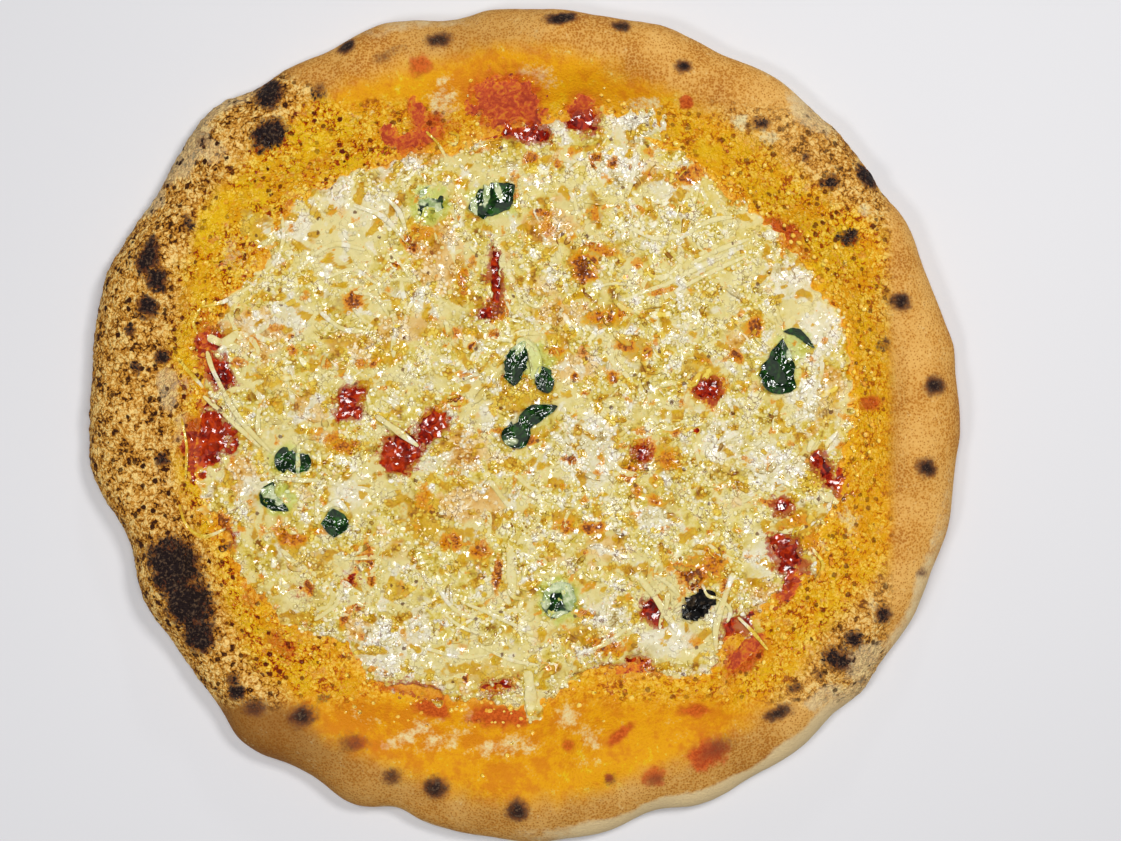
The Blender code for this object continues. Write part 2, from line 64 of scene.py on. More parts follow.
def gradientNoise(p, cell, seed):
    # smooth field of about -1..1: every corner of a lattice of cells has its own slope, and the eight
    # slopes round a point are blended with 6f^5 - 15f^4 + 10f^3
    q = p / cell
    base = np.floor(q).astype(int)
    f = q - base
    ease = f * f * f * (f * (6 * f - 15) + 10)
    draw = np.random.default_rng(seed)
    order = draw.permutation(256)
    slopes = draw.normal(size=(256, 3))
    slopes /= np.linalg.norm(slopes, axis=1)[:, None]
    total = np.zeros(p.shape[:-1])
    for corner in np.ndindex(2, 2, 2):
        pick = lattice(base + corner, order)
        weight = np.prod(np.where(corner, ease, 1 - ease), axis=-1)
        total += weight * (slopes[pick] * (f - corner)).sum(axis=-1)
    return 1.6 * total


def fractalNoise(p, cell, seed, octaves=3):
    # gradient noise plus half as much at half the size, and so on
    return sum(gradientNoise(p, cell / 2 ** k, seed + k) / 2 ** k for k in range(octaves)) / 1.5


def cellNoise(p, cell, seed):
    # distance to the nearest of one random point a cell, and that point's own random number 0..1
    q = p / cell
    base = np.floor(q).astype(int)
    draw = np.random.default_rng(seed)
    order = draw.permutation(256)
    centres = draw.random((256, 3))
    nearest = np.full(p.shape[:-1], 9.0)
    tone = np.zeros(p.shape[:-1])
    for step in np.ndindex(3, 3, 3):
        corner = base + step - 1
        pick = lattice(corner, order)
        away = np.linalg.norm(corner + centres[pick] - q, axis=-1)
        tone = np.where(away < nearest, pick / 255, tone)
        nearest = np.minimum(nearest, away)
    return nearest, tone


def flat(x, y):
    # points of the plane as 3-D points for the fields
    return np.stack(np.broadcast_arrays(x, y, 0.0), axis=-1)


spotBorder = {"size": 5.0, "fineSize": 1.9, "reach": 1.35}  # its lumps in mm, and how far out it fades


def spots(x, y, table, ragged=0.25, seed=5, full=0.55):
    # the strongest of a table's oval spots: 1 up to the share full of the way out, then falling to 0, with
    # a border made uneven by noise. A spot is (x, y, half length, half width, strength), in mm, and may end
    # with its turn in degrees
    p = flat(x, y)
    wobble = fractalNoise(p, spotBorder["size"], seed)
    wobble = wobble + 0.5 * gradientNoise(p, spotBorder["fineSize"], seed + 9)
    strongest = np.zeros(np.broadcast(x, y).shape)
    for atX, atY, halfLength, halfWidth, strength, *turn in table:
        angle = math.radians(*turn or (0,))
        c, s = math.cos(angle), math.sin(angle)
        along = ((x - atX) * c + (y - atY) * s) / halfLength
        across = ((y - atY) * c - (x - atX) * s) / halfWidth
        reach = np.sqrt(along ** 2 + across ** 2) + ragged * wobble
        strongest = np.maximum(strongest, strength * smoothstep(spotBorder["reach"], full, reach))
    return strongest


# Part: the pizza's outlines and heights

pizza = {
    "edgeRadius": 151.0, "footRadius": 113.0, "cheeseRadius": 108.6, "baseThickness": 4.0,
    "crestHeight": 18.5, "crestWave": 0.6, "crestShare": 0.56, "widestHeight": 7.2, "soleTuck": 7.5,
    "sauceThickness": 1.4, "cheeseThickness": 2.4,
    "fitFrom": 12.0,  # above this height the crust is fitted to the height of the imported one
}
# puffs and pinches round the rim: (degrees, half width in degrees, mm)
edgePuffs = (
    (10, 3, 1.0), (22, 6, -1.0), (32, 5, -1.8), (54, 9, 2.4), (99, 4, -2.6), (118, 6, -2.6), (135, 5, 3.6),
    (148, 4, -2.6), (166, 8, 1.8), (183, 6, 1.5), (197, 7, -4.6), (229, 6, 3.2), (246, 4, 1.8),
    (252, 3, -2.0), (262, 4, 1.4), (288, 5, -3.0), (317, 3, -1.4), (332, 8, 2.4),
)
footPuffs = ((48, 12, -3.5), (77, 12, 5.0), (210, 14, 2.8), (287, 12, -3.5), (308, 10, 4.0))
crestPuffs = (
    (20, 12, 1.2), (60, 16, -1.4), (135, 10, 2.2), (172, 20, 2.4), (206, 9, 1.6), (243, 14, -1.2),
    (276, 12, 1.0), (325, 14, 1.8),
)
cheesePuffs = (
    (15, 6, 2.4), (42, 10, -3.5), (75, 8, 7.0), (105, 7, -4.5), (135, 8, 3.8), (150, 6, -2.5), (160, 5, 1.6),
    (208, 12, 2.0), (230, 7, -5.0), (242, 6, 2.6), (252, 5, 1.7), (270, 6, 1.6), (285, 8, -6.5),
    (295, 4, -1.5), (306, 6, 8.0),
)


# ovalness and drift of the outlines: (times round the circle, cosine in mm, sine in mm)
edgeWaves = ((2, 3.1, -1.9), (1, 1.2, 1.6), (3, 0.0, 1.2))
footWaves = ((2, 5.5, 1.6), (1, 1.4, 2.5))
cheeseWaves = ((2, 6.9, 2.1), (1, 0.9, 3.2))


def polar(x, y):
    # angle and distance from the pizza's middle
    return np.arctan2(y, x), np.hypot(x, y)


def degreesFrom(angle, at):
    # how far an angle is from one given in degrees, -180..180
    return (np.degrees(angle) - at + 180) % 360 - 180


def puffs(angle, table):
    # the sum of bell curves height * exp(-(away / width)^2) round the circle
    total = np.zeros_like(angle)
    for at, halfWidth, height in table:
        total += height * np.exp(-((degreesFrom(angle, at) / halfWidth) ** 2))
    return total


def outline(a, radius, waves, table):
    # a radius, plus cosine and sine waves round the circle, plus puffs
    total = pizza[radius] + puffs(a, table)
    for count, cosine, sine in waves:
        total = total + cosine * np.cos(count * a) + sine * np.sin(count * a)
    return total


def edgeRadius(a):
    # the crust's widest line
    return outline(a, "edgeRadius", edgeWaves, edgePuffs)


def footRadius(a):
    # where the rim begins to stand up from the base
    return outline(a, "footRadius", footWaves, footPuffs)


def cheeseRadius(a):
    # the middle of the cheese's ragged edge
    return outline(a, "cheeseRadius", cheeseWaves, cheesePuffs)


def crestRadius(a):
    # the rim's highest line, a share of the way from its foot to its edge
    return footRadius(a) + pizza["crestShare"] * (edgeRadius(a) - footRadius(a))


def slopeStart(a):
    # the dough already begins to rise under the cheese's edge
    return np.minimum(footRadius(a), cheeseRadius(a) + 2) - 3


def crestHeight(a):
    # the crest's height: a mean, five long waves and the puffs
    return pizza["crestHeight"] + pizza["crestWave"] * np.sin(5 * a + 1.1) + puffs(a, crestPuffs)


def slope(share):
    # how high the inner slope has come, 0 at the foot and 1 at the crest
    return np.sin(np.pi / 2 * np.clip(share, 0, 1) ** 0.9) ** 1.7


# scorched blisters that stand up from the rim: (degrees, distance, half length, half width, height)
blisters = (
    (206, 133.5, 17, 8, 2.2), (157, 143, 10, 6, 1.5), (127, 146, 6, 5, 1.3), (131, 136, 6.5, 5, 1.5),
    (30, 133, 5, 4.5, 1.3), (38, 137.8, 5, 4.5, 1.2), (35.6, 148.5, 4.5, 4, 1.8), (323, 139.2, 8.5, 6.5, 2.0),
    (327.5, 138.5, 4.5, 4.5, 1.3), (332.3, 143.6, 5, 5, 1.3), (233, 129.3, 5, 4.2, 1.0),
    (223, 137.6, 6, 5, 1.2), (256.8, 132.4, 5, 5, 1.2), (269.4, 135.6, 5, 4.2, 1.2),
    (301, 133.5, 11, 5.5, 1.0), (5.3, 145.8, 4.5, 4.5, 1.0), (354, 142.8, 5, 4.2, 1.0),
    (18.5, 138.9, 5, 4.2, 1.0), (52.7, 133.8, 6, 4, 1.0), (163, 138, 5, 5, 1.2), (149, 140, 7, 6, 1.6),
    (85, 142, 7, 5.5, 1.0),
)

crust = {
    "columns": 1000, "slopeRows": 44, "outerRows": 26, "tuckRows": 9, "soleRows": 12, "hiddenRows": 5,
    # stretches with a crumbly skin of burst bubbles: (degrees, half width in degrees, strength)
    "crumbly": ((125, 12, 0.8), (145, 14, 1.0), (170, 16, 1.0), (195, 16, 1.0), (220, 12, 0.9), (32, 13, 0.6),
                (326, 12, 0.5)),
    # heights and sizes of the relief in mm
    "swellHeight": 0.7, "swellShare": 0.45, "swellSize": 11, "lumpSize": 4.5,
    "lumpShare": 0.12, "crumblyLumps": 0.3,
    "crumbHeight": 0.6, "crumbSize": 2.3, "crumbBend": 0.9, "bendSize": 2.4,
    "poreDepth": 0.35, "poreSize": 3.4, "poresFrom": 0.6, "soleDent": 0.5, "soleDentSize": 24,
    "fadeWidth": 10, "leastRelief": 0.06, "fadeHeight": 6,
}
# long swells of the rim: (height in mm, times round the circle, slant across the rim, phase)
rimWaves = ((0.7, 9, 9, 0), (0.5, 16, -14, 2), (0.4, 27, 31, 1))


# where the crumbly skin ends in mm, how far its border strays, and how strong it is at least
crumblyBox = {"top": 113, "leftRise": 15, "leftFrom": -60, "leftTo": -95, "bottom": -98.5, "right": 129.5,
              "wander": 3, "wanderSize": 14, "least": 0.62, "more": 0.5}


def crumblyShare(x, y, a, r):
    # 1 where burst bubbles roughen the skin: the whole rim on the left, and elsewhere the oily slope between
    # a smooth band on top, one at the bottom and one along the right
    wander = crumblyBox["wander"] * gradientNoise(flat(x, y), crumblyBox["wanderSize"], 71)
    left = smoothstep(crumblyBox["leftFrom"], crumblyBox["leftTo"], x)
    top = crumblyBox["top"] + crumblyBox["leftRise"] * left
    box = smoothstep(4, -4, np.maximum(y - top, crumblyBox["bottom"] - y) + wander)
    box = box * smoothstep(3, -3, x - crumblyBox["right"] + 0.4 * wander)
    along = np.clip(puffs(a, crust["crumbly"]), 0, 1)
    strength = np.clip(crumblyBox["least"] + crumblyBox["more"] * along, 0, 1)
    return box * strength * smoothstep(-4, 2, r - cheeseRadius(a))


def rimRelief(x, y, z):
    # swelling of the rim's skin in mm: long sine swells and bell-shaped blisters, then lumps, then crumbs
    # and pores where it is crumbly, all fading out towards the foot and the sole
    a, r = polar(x, y)
    across = r / pizza["edgeRadius"]
    relief = sum(height * np.sin(count * a + slant * across + phase)
                 for height, count, slant, phase in rimWaves)
    for at, distance, halfAlong, halfAcross, height in blisters:
        along = r * np.radians(degreesFrom(a, at))
        relief += height * np.exp(-((along / halfAlong) ** 2) - ((r - distance) / halfAcross) ** 2)
    p = np.stack(np.broadcast_arrays(x, y, z), axis=-1)
    crumbly = crumblyShare(x, y, a, r)
    lumps = crust["swellShare"] * gradientNoise(p, crust["swellSize"], 11)
    lumps += (crust["lumpShare"] + crust["crumblyLumps"] * crumbly) * gradientNoise(p, crust["lumpSize"], 12)
    relief += crust["swellHeight"] * lumps
    bend = np.stack([gradientNoise(p, crust["bendSize"], seed) for seed in (15, 16, 17)], axis=-1)
    crumbs, tone = cellNoise(p + crust["crumbBend"] * bend, crust["crumbSize"], 13)
    relief += crumbly * crust["crumbHeight"] * (0.45 - crumbs + 0.5 * (tone - 0.5))
    pores, tone = cellNoise(p, crust["poreSize"], 14)
    relief -= crust["poreDepth"] * crumbly * smoothstep(0.42, 0.15, pores) * (tone > crust["poresFrom"])
    rise = np.clip((r - footRadius(a) - 1) / crust["fadeWidth"], crust["leastRelief"], 1)
    return relief * rise * np.clip((z - 1) / crust["fadeHeight"], 0, 1)


def crustProfileHeight(x, y):
    # the crust's upper surface up to the crest, before its relief: base + (crest - base) * slope
    a, r = polar(x, y)
    foot = slopeStart(a)
    base = pizza["baseThickness"]
    return base + (crestHeight(a) - base) * slope((r - foot) / (crestRadius(a) - foot))


def crustTop(x, y):
    # the crust's upper surface with its relief
    z = crustProfileHeight(x, y)
    return z + rimRelief(x, y, z)


# Part: putting arrays into meshes

def frameShift(points):
    # brings the middle of the crust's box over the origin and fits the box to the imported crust's
    low, high = points.reshape(-1, 3).min(axis=0), points.reshape(-1, 3).max(axis=0)
    cadLow, cadHigh = (np.array(corner) * 1000 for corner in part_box("crust"))
    return {"scale": (cadHigh - cadLow)[:2] / (high - low)[:2], "low": low[:2], "cadLow": cadLow[:2],
            "top": high[2], "cadTop": cadHigh[2]}


def toFrame(points):
    # millimetres round the pizza's middle to the frame's metres
    out = np.array(points, dtype=float)
    out[..., :2] = (out[..., :2] - fit["low"]) * fit["scale"] + fit["cadLow"]
    start = pizza["fitFrom"]
    over = np.clip(out[..., 2] - start, 0, None)
    out[..., 2] -= over * (1 - (fit["cadTop"] - start) / (fit["top"] - start))
    return out * 0.001


def newPiece(name, points, faceGroups, fields, material):
    # points (n, 3) in mm; each face group is an array of corner numbers, one row a face; fields are numbers
    # per point, which the material reads
    mesh = bpy.data.meshes.new(name)
    points = toFrame(points.reshape(-1, 3))
    mesh.vertices.add(len(points))
    mesh.vertices.foreach_set("co", points.ravel())
    corners = np.concatenate([group.ravel() for group in faceGroups])
    counts = np.concatenate([np.full(len(group), group.shape[1]) for group in faceGroups])
    mesh.loops.add(len(corners))
    mesh.loops.foreach_set("vertex_index", corners.astype(np.int32))
    mesh.polygons.add(len(counts))
    mesh.polygons.foreach_set("loop_start", (np.cumsum(counts) - counts).astype(np.int32))
    mesh.update(calc_edges=True)
    mesh.polygons.foreach_set("use_smooth", np.ones(len(counts), dtype=bool))
    for label, values in fields.items():
        layer = mesh.attributes.new(label, "FLOAT", "POINT")
        layer.data.foreach_set("value", np.broadcast_to(values, len(points)).astype(np.float32))
    mesh.materials.append(material)
    obj = bpy.data.objects.new(name, mesh)
    bpy.context.scene.collection.objects.link(obj)
    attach(obj, "root")
    return obj


def gridFaces(rows, columns, closed, start=0):
    # quads of a grid of rows x columns points; closed joins the last column to the first
    i = np.arange(rows - 1)[:, None] * columns
    j = np.arange(columns if closed else columns - 1)[None, :]
    k = (j + 1) % columns
    return np.stack([i + j, i + k, i + columns + k, i + columns + j], axis=-1).reshape(-1, 4) + start


def rimNumbers(number):
    # the numbers of a grid's border points, once round
    return np.concatenate([number[0, :-1], number[:-1, -1], number[-1, :0:-1], number[:0:-1, 0]])


def fanFaces(ring, centre, flip):
    # triangles from a ring of points to one point
    a, b = (np.roll(ring, -1), ring) if flip else (ring, np.roll(ring, -1))
    return np.stack([a, b, np.full(len(ring), centre)], axis=-1)


def discGrid(size):
    # an even square grid bent onto the unit disc: the larger of |u| and |v| is the radius, and the other
    # turns the angle
    line = np.linspace(-1, 1, size + 1)
    u, v = np.meshgrid(line, line)
    wide = np.abs(u) > np.abs(v)
    radius = np.where(wide, u, v)
    with np.errstate(divide="ignore", invalid="ignore"):
        turn = np.where(wide, np.pi / 4 * v / u, np.pi / 2 - np.pi / 4 * u / v)
    turn = np.nan_to_num(turn)
    return radius * np.cos(turn), radius * np.sin(turn)


# a sheet's lower side: shares of the radius, and heights in mm
lining = {"outerShare": 0.9, "innerShare": 0.5, "dip": 2.5, "highest": 4.6, "depth": 3.0}


def shell(name, size, radius, topOf, under, fieldsOf, material):
    # a closed sheet over the disc: a fine upper side z = topOf(x, y), and a coarse lower side of a few rings
    x, y = discGrid(size)
    stretch = radius(np.arctan2(y, x))
    x, y = x * stretch, y * stretch
    points = np.stack([x, y, topOf(x, y)], axis=-1).reshape(-1, 3)
    side = size + 1
    rim = rimNumbers(np.arange(side * side).reshape(side, side))
    border = points[rim]
    outer, inner = border[:, :2] * lining["outerShare"], border[:, :2] * lining["innerShare"]
    outerZ = np.minimum(topOf(outer[:, 0], outer[:, 1]) - lining["dip"] * under, lining["highest"])
    rings = [border - (0, 0, under), np.column_stack([outer, outerZ]),
             np.column_stack([inner, np.full(len(rim), lining["depth"])]), [[0.0, 0.0, lining["depth"]]]]
    everything = np.concatenate([points] + rings)
    ringNumbers = [rim] + [len(points) + k * len(rim) + np.arange(len(rim)) for k in range(3)]
    groups = [gridFaces(side, side, False)]
    for one, other in zip(ringNumbers, ringNumbers[1:]):
        groups.append(np.stack([one, other, np.roll(other, -1), np.roll(one, -1)], axis=-1))
    groups.append(fanFaces(ringNumbers[-1], len(everything) - 1, True))
    return newPiece(name, everything, groups, fieldsOf(everything[:, 0], everything[:, 1]), material)


# Part: shader helpers

def srgb(red, green, blue):
    # a colour as seen on screen, 0..255, as the shader's linear value
    c = np.array([red, green, blue]) / 255
    linear = np.where(c <= 0.04045, c / 12.92, ((c + 0.055) / 1.055) ** 2.4)
    return (*linear.tolist(), 1.0)


def add(tree, kind, inputs=None, **settings):
    # a node with its settings; an input that is given a socket is linked, any other is set
    item = tree.nodes.new(kind)
    for key, value in settings.items():
        setattr(item, key, value)
    for key, value in (inputs or {}).items():
        if isinstance(value, bpy.types.NodeSocket):
            tree.links.new(value, item.inputs[key])
        else:
            item.inputs[key].default_value = value
    return item


def calc(tree, operation, a, b=0.0, c=0.0):
    # one step of arithmetic
    return add(tree, "ShaderNodeMath", {0: a, 1: b, 2: c}, operation=operation).outputs[0]


def times(tree, a, b):
    # a * b
    return calc(tree, "MULTIPLY", a, b)


def vector(tree, operation, a, b=(0, 0, 0)):
    # vector arithmetic; SCALE takes a number as b
    inputs = {0: a, "Scale" if operation == "SCALE" else 1: b}
    return add(tree, "ShaderNodeVectorMath", inputs, operation=operation).outputs[0]


def weigh(tree, *terms):
    # the sum of value * weight over the pairs given; a lone number is added as it is
    total = 0.0
    for term in terms:
        if isinstance(term, tuple):
            total = calc(tree, "MULTIPLY_ADD", term[0], term[1], total)
        else:
            total = calc(tree, "ADD", total, term)
    return total


def mixColour(tree, factor, a, b):
    # a where the factor is 0, b where it is 1
    return add(tree, "ShaderNodeMix", {0: factor, 6: a, 7: b}, data_type="RGBA").outputs[2]


def remap(tree, value, low, high, toLow=0.0, toHigh=1.0):
    # toLow below low, toHigh above high, and an S-curve between them
    values = {"Value": value, "From Min": low, "From Max": high, "To Min": toLow, "To Max": toHigh}
    return add(tree, "ShaderNodeMapRange", values, interpolation_type="SMOOTHSTEP").outputs[0]


def ramp(tree, factor, stops):
    # colours along a line: (position 0..1, colour) for each stop
    item = add(tree, "ShaderNodeValToRGB", {"Fac": factor})
    elements = item.color_ramp.elements
    while len(elements) < len(stops):
        elements.new(0.5)
    for element, (position, colour) in zip(elements, stops):
        element.position = position
        element.color = colour
    return item.outputs["Color"]


def field(tree, name):
    # a number that the mesh carries per point
    return add(tree, "ShaderNodeAttribute", attribute_name=name, attribute_type="GEOMETRY").outputs["Fac"]


def place(tree):
    # the point on the piece, in metres
    return add(tree, "ShaderNodeTexCoord").outputs["Object"]


def channel(tree, colour, number):
    # red, green or blue of a colour, as a random number of its own for each cell
    return add(tree, "ShaderNodeSeparateColor", {"Color": colour}).outputs[number]


def voronoi(tree, where, perMetre, feature="F1"):
    # cells round random points: the distance to the nearest point, or border, and a colour for each cell
    return add(tree, "ShaderNodeTexVoronoi", {"Vector": where, "Scale": perMetre}, feature=feature).outputs


def noise(tree, size, detail=3.0, roughness=0.55, distortion=0.0):
    # soft noise about 0.5, with lumps of a size in mm
    values = {"Vector": place(tree), "Scale": 1000 / size, "Detail": detail, "Roughness": roughness,
              "Distortion": distortion}
    return add(tree, "ShaderNodeTexNoise", values).outputs["Fac"]


def wandering(tree, size, reach):
    # object coordinates pushed about by a soft noise of that size, by up to half of reach, both in mm
    push = add(tree, "ShaderNodeTexNoise", {"Vector": place(tree), "Scale": 1000 / size, "Detail": 1.0})
    push = vector(tree, "SUBTRACT", push.outputs["Color"], (0.5, 0.5, 0.5))
    return vector(tree, "ADD", place(tree), vector(tree, "SCALE", push, reach * 0.001))


def newMaterial(name, **values):
    # a material with its tree and its Principled BSDF, whose plain sockets get the values given
    material = bpy.data.materials.new(name)
    material.use_nodes = True
    tree = material.node_tree
    shader = tree.nodes["Principled BSDF"]
    for key, value in values.items():
        shader.inputs[key].default_value = value
    return material, tree, shader


def newGroup(name, inputs, outputs):
    # a node group: number sockets go in, each with its usual value, and sockets of the kinds given come out
    tree = bpy.data.node_groups.new(name, "ShaderNodeTree")
    for label, value in inputs.items():
        tree.interface.new_socket(label, in_out="INPUT", socket_type="NodeSocketFloat").default_value = value
    for label, kind in outputs.items():
        tree.interface.new_socket(label, in_out="OUTPUT", socket_type="NodeSocket" + kind)
    return tree, tree.nodes.new("NodeGroupInput").outputs, tree.nodes.new("NodeGroupOutput").inputs


def useGroup(tree, group, inputs):
    # the outputs of a group placed with its own values
    return add(tree, "ShaderNodeGroup", inputs, node_tree=group).outputs


dullRoughness = 0.82  # of the facets that carry no oil


def makeSpeckGroup():
    # dark specks: cells of one size, of which a share holds a speck of uneven outline
    tree, given, out = newGroup("bakedSpecks", {"Cells per metre": 400.0, "Share": 0.2, "Size": 0.35},
                                {"Speck": "Float"})
    cells = voronoi(tree, place(tree), given["Cells per metre"])
    chosen = calc(tree, "LESS_THAN", channel(tree, cells["Color"], 0), given["Share"])
    ragged = weigh(tree, cells["Distance"], (noise(tree, 0.9, 2.0), 0.3), -0.15)
    near = remap(tree, ragged, given["Size"], times(tree, given["Size"], 0.7))
    tree.links.new(times(tree, chosen, near), out["Speck"])
    return tree


def makeOilGroup():
    # an oily skin: small flat facets of uneven outline lean each its own way, a share of them wet, the rest
    # dull. Normal = plain * (1 - film) + up * film + a random vector per facet, made one long again
    tree, given, out = newGroup(
        "oilySkin",
        {"Facets per metre": 600.0, "Facet lean": 0.5, "Wet share": 0.3, "Film": 0.5, "Roughness": 0.1},
        {"Height": "Float", "Normal": "Vector", "Roughness": "Float"})
    facets = voronoi(tree, wandering(tree, 1.6, 1.6), given["Facets per metre"])
    wet = calc(tree, "LESS_THAN", channel(tree, facets["Color"], 2), given["Wet share"])
    lean = vector(tree, "SUBTRACT", facets["Color"], (0.5, 0.5, 0.5))
    lean = vector(tree, "SCALE", lean, given["Facet lean"])
    up = add(tree, "ShaderNodeCombineXYZ", {2: given["Film"]}).outputs[0]
    plain = add(tree, "ShaderNodeNewGeometry").outputs["Normal"]
    plain = vector(tree, "SCALE", plain, calc(tree, "SUBTRACT", 1.0, given["Film"]))
    leaning = vector(tree, "ADD", vector(tree, "ADD", plain, up), lean)
    tree.links.new(vector(tree, "NORMALIZE", leaning), out["Normal"])
    broad = noise(tree, 3.6, 1.0)
    tree.links.new(broad, out["Height"])
    shiny = times(tree, given["Roughness"], weigh(tree, (broad, 1.1), 0.45))
    tree.links.new(remap(tree, wet, 0.0, 1.0, dullRoughness, shiny), out["Roughness"])
    return tree


bakedSpecks = makeSpeckGroup()
oilySkin = makeOilGroup()


def bumped(tree, shader, height, distance, normal):
    # bends the normal by a height, whose full swing is the distance in mm
    bump = add(tree, "ShaderNodeBump", {"Height": height, "Distance": distance * 0.001, "Normal": normal})
    tree.links.new(bump.outputs["Normal"], shader.inputs["Normal"])


def oily(tree, shader, values, distance):
    # gives a material the oily skin, over soft bumps of the distance in mm
    skin = useGroup(tree, oilySkin, values)
    tree.links.new(skin["Roughness"], shader.inputs["Roughness"])
    bumped(tree, shader, skin["Height"], distance, skin["Normal"])


# Part: the crust

crustLook = {
    "tanDark": srgb(178, 110, 34), "tan": srgb(208, 145, 58), "tanLight": srgb(232, 180, 98),
    # the first colour on the next line darkens the rim, partly as browning and partly as painted shade
    "baked": srgb(122, 70, 14), "goldDark": srgb(200, 88, 0), "goldSoft": srgb(216, 132, 6),
    # crumb colours: the darkest is painted shade in the crevices and also the colour of burnt specks, the
    # gold crevice colour is painted shade, and the palest crumb and gold colours are partly painted highlight
    # on the crumbs' middles
    "gold": srgb(230, 160, 0), "goldYellow": srgb(232, 190, 10), "goldPaleAndHighlight": srgb(255, 216, 76),
    "goldSpeck": srgb(100, 26, 4), "puddle": srgb(230, 176, 6),
    "crumbShadeAndScorch": srgb(58, 24, 2), "crumb": srgb(172, 108, 22), "crumbTan": srgb(220, 158, 62),
    "crumbPaleAndHighlight": srgb(252, 214, 132), "goldCreviceShade": srgb(146, 50, 0),
    "pale": srgb(228, 206, 158), "cream": srgb(238, 222, 166), "stain": srgb(208, 84, 26),
    "stainDark": srgb(172, 48, 10), "halo": srgb(104, 56, 34), "char": srgb(30, 17, 17),
    "ash": srgb(92, 70, 52), "flour": srgb(226, 199, 150), "sole": srgb(206, 160, 98),
    # sizes of the patterns, and the two kinds of burst bubbles
    "poresPerMetre": 1250.0, "crumbsPerMetre": 780.0, "flakesPerMetre": 380.0,
    "smallSpecks": {"Cells per metre": 380.0, "Share": 0.2, "Size": 0.36},
    "largeSpecks": {"Cells per metre": 230.0, "Share": 0.3, "Size": 0.26},
    # the oily skin on the crumbly golden slope
    "oil": {"Facets per metre": 620.0, "Wet share": 0.4, "Roughness": 0.16}, "oilLean": 0.42, "oilFilm": 0.5,
    "dryRoughness": 0.72, "bumpHeight": 0.5,
}
# where the rim is darker, partly browner from baking and partly painted shade on the lower left: (degrees,
# half width, strength)
browningAndShadePuffs = ((228, 18, 1.0), (205, 8, 0.4), (180, 16, 0.35), (268, 24, 0.35), (98, 8, 0.35), (128, 6, 0.3),
              (302, 9, 0.35))
# where the outer side shows pale below the crest, and where a pale band runs along the edge, likewise
palePuffs = ((262, 14, 0.5), (285, 12, 0.9), (305, 12, 0.95), (322, 8, 0.6), (92, 30, 0.45), (140, 14, 0.9),
             (45, 12, 0.6), (205, 20, 0.35))
edgePalePuffs = ((283, 12, 0.9), (303, 12, 1.0), (318, 8, 0.6), (335, 9, 0.7), (105, 10, 0.5), (350, 8, 0.3),
                 (136, 9, 0.9))
goldRadius = 129  # where the oily golden inner slope ends and the dry tan outer skin begins, in mm
# and how far it strays from there: (degrees, half width, mm)
goldPuffs = (
    (6, 12, 4.5), (28, 8, 14.0), (44, 9, 2.0), (62, 8, -1.0), (90, 12, 4.0), (122, 16, 6.0), (144, 12, 5.0),
    (160, 8, -2.0), (182, 14, -7.0), (204, 10, -8.0), (226, 12, -3.0), (240, 10, 1.0), (272, 18, 4.0),
    (305, 12, 2.0), (342, 10, 9.0),
)
# scorched, stained, creamy and pale spots
charSpots = (
    (-122, -50, 11, 8.5, 1.4, -65), (-116.5, -63, 10, 8, 1.3, -60), (-113, -74, 7, 6, 1.2, -55),
    (-130.5, 59, 7, 4, 1.1, 75), (-127, 50.5, 5, 4, 1, 70), (-131, 41, 4.4, 4, 1), (-88.8, 116.5, 6, 6, 1.1),
    (-88.5, 101.5, 7, 5.4, 1.15, 35), (122, 87.5, 5.5, 3.8, 1.1, -50), (108, 85, 3.8, 3.0, 0.8, 20),
    (115, 66, 4, 3.6, 0.75), (133, 43, 4.8, 4, 0.8, -30), (145, 13.5, 4.6, 4.4, 0.8),
    (142, -15.3, 4.6, 4.4, 0.8), (141, -52.5, 3, 2.6, 0.5), (111, -82.5, 6.5, 4.8, 0.9, -30),
    (116.5, -75.3, 3.4, 3.2, 0.9), (127, -66.7, 3.8, 3.8, 0.85), (90, -101.5, 6.5, 3.2, 0.75, 22),
    (-100, -94.5, 3.6, 3.2, 0.85), (-101, -89.5, 3, 3, 0.6), (-94, -99.8, 5.4, 4.2, 0.6),
    (-77, -103, 5.8, 4.8, 0.75), (-59.4, -112.3, 6.6, 4.8, 0.45, -10), (-45.8, -124, 4.6, 4.2, 0.6),
    (-30.1, -128.2, 5.4, 5.2, 0.76), (-1.4, -135.6, 5.2, 5.2, 0.76), (31, -124.6, 3, 3, 0.45),
    (47, -124.6, 5, 3.2, 0.4, 15), (68.5, -114, 9, 4.6, 0.42, 30), (57, 126, 3.6, 3.2, 0.85),
    (35, 140.6, 4.4, 2.8, 0.75, -10), (13.7, 143, 7.4, 3, 0.9, 8), (5, 136, 8, 5, 0.16, 40),
    (-29, 135.5, 6, 3.4, 0.75, 10), (-45, 131.5, 7, 3, 0.3, 25), (-61.8, 133.5, 4.6, 3.2, 0.85, 30),
    (-49, 129, 5, 3, 0.4, 20), (-71, 116.8, 3, 4.6, 0.5), (-126.4, 23.8, 2.8, 2.8, 0.95),
    (-126.7, -12.8, 2.4, 3, 0.8), (-117, 70, 3, 4, 0.5), (-135, 20, 2, 3.4, 0.6), (-137, 33, 2.4, 2.4, 0.6),
    (-112, 100, 3, 3, 0.5), (84.5, 106, 4, 3, 0.6), (100, 94, 2, 2, 0.6), (-104, -38, 3.4, 2, 0.8, -50),
    (-106, -44, 2.2, 1.8, 0.8), (-70, -97, 3, 2, 0.35), (128, 28, 3, 3, 0.4), (96, -92, 3, 2.4, 0.5),
    (104, -88, 2.4, 2.2, 0.6),
)
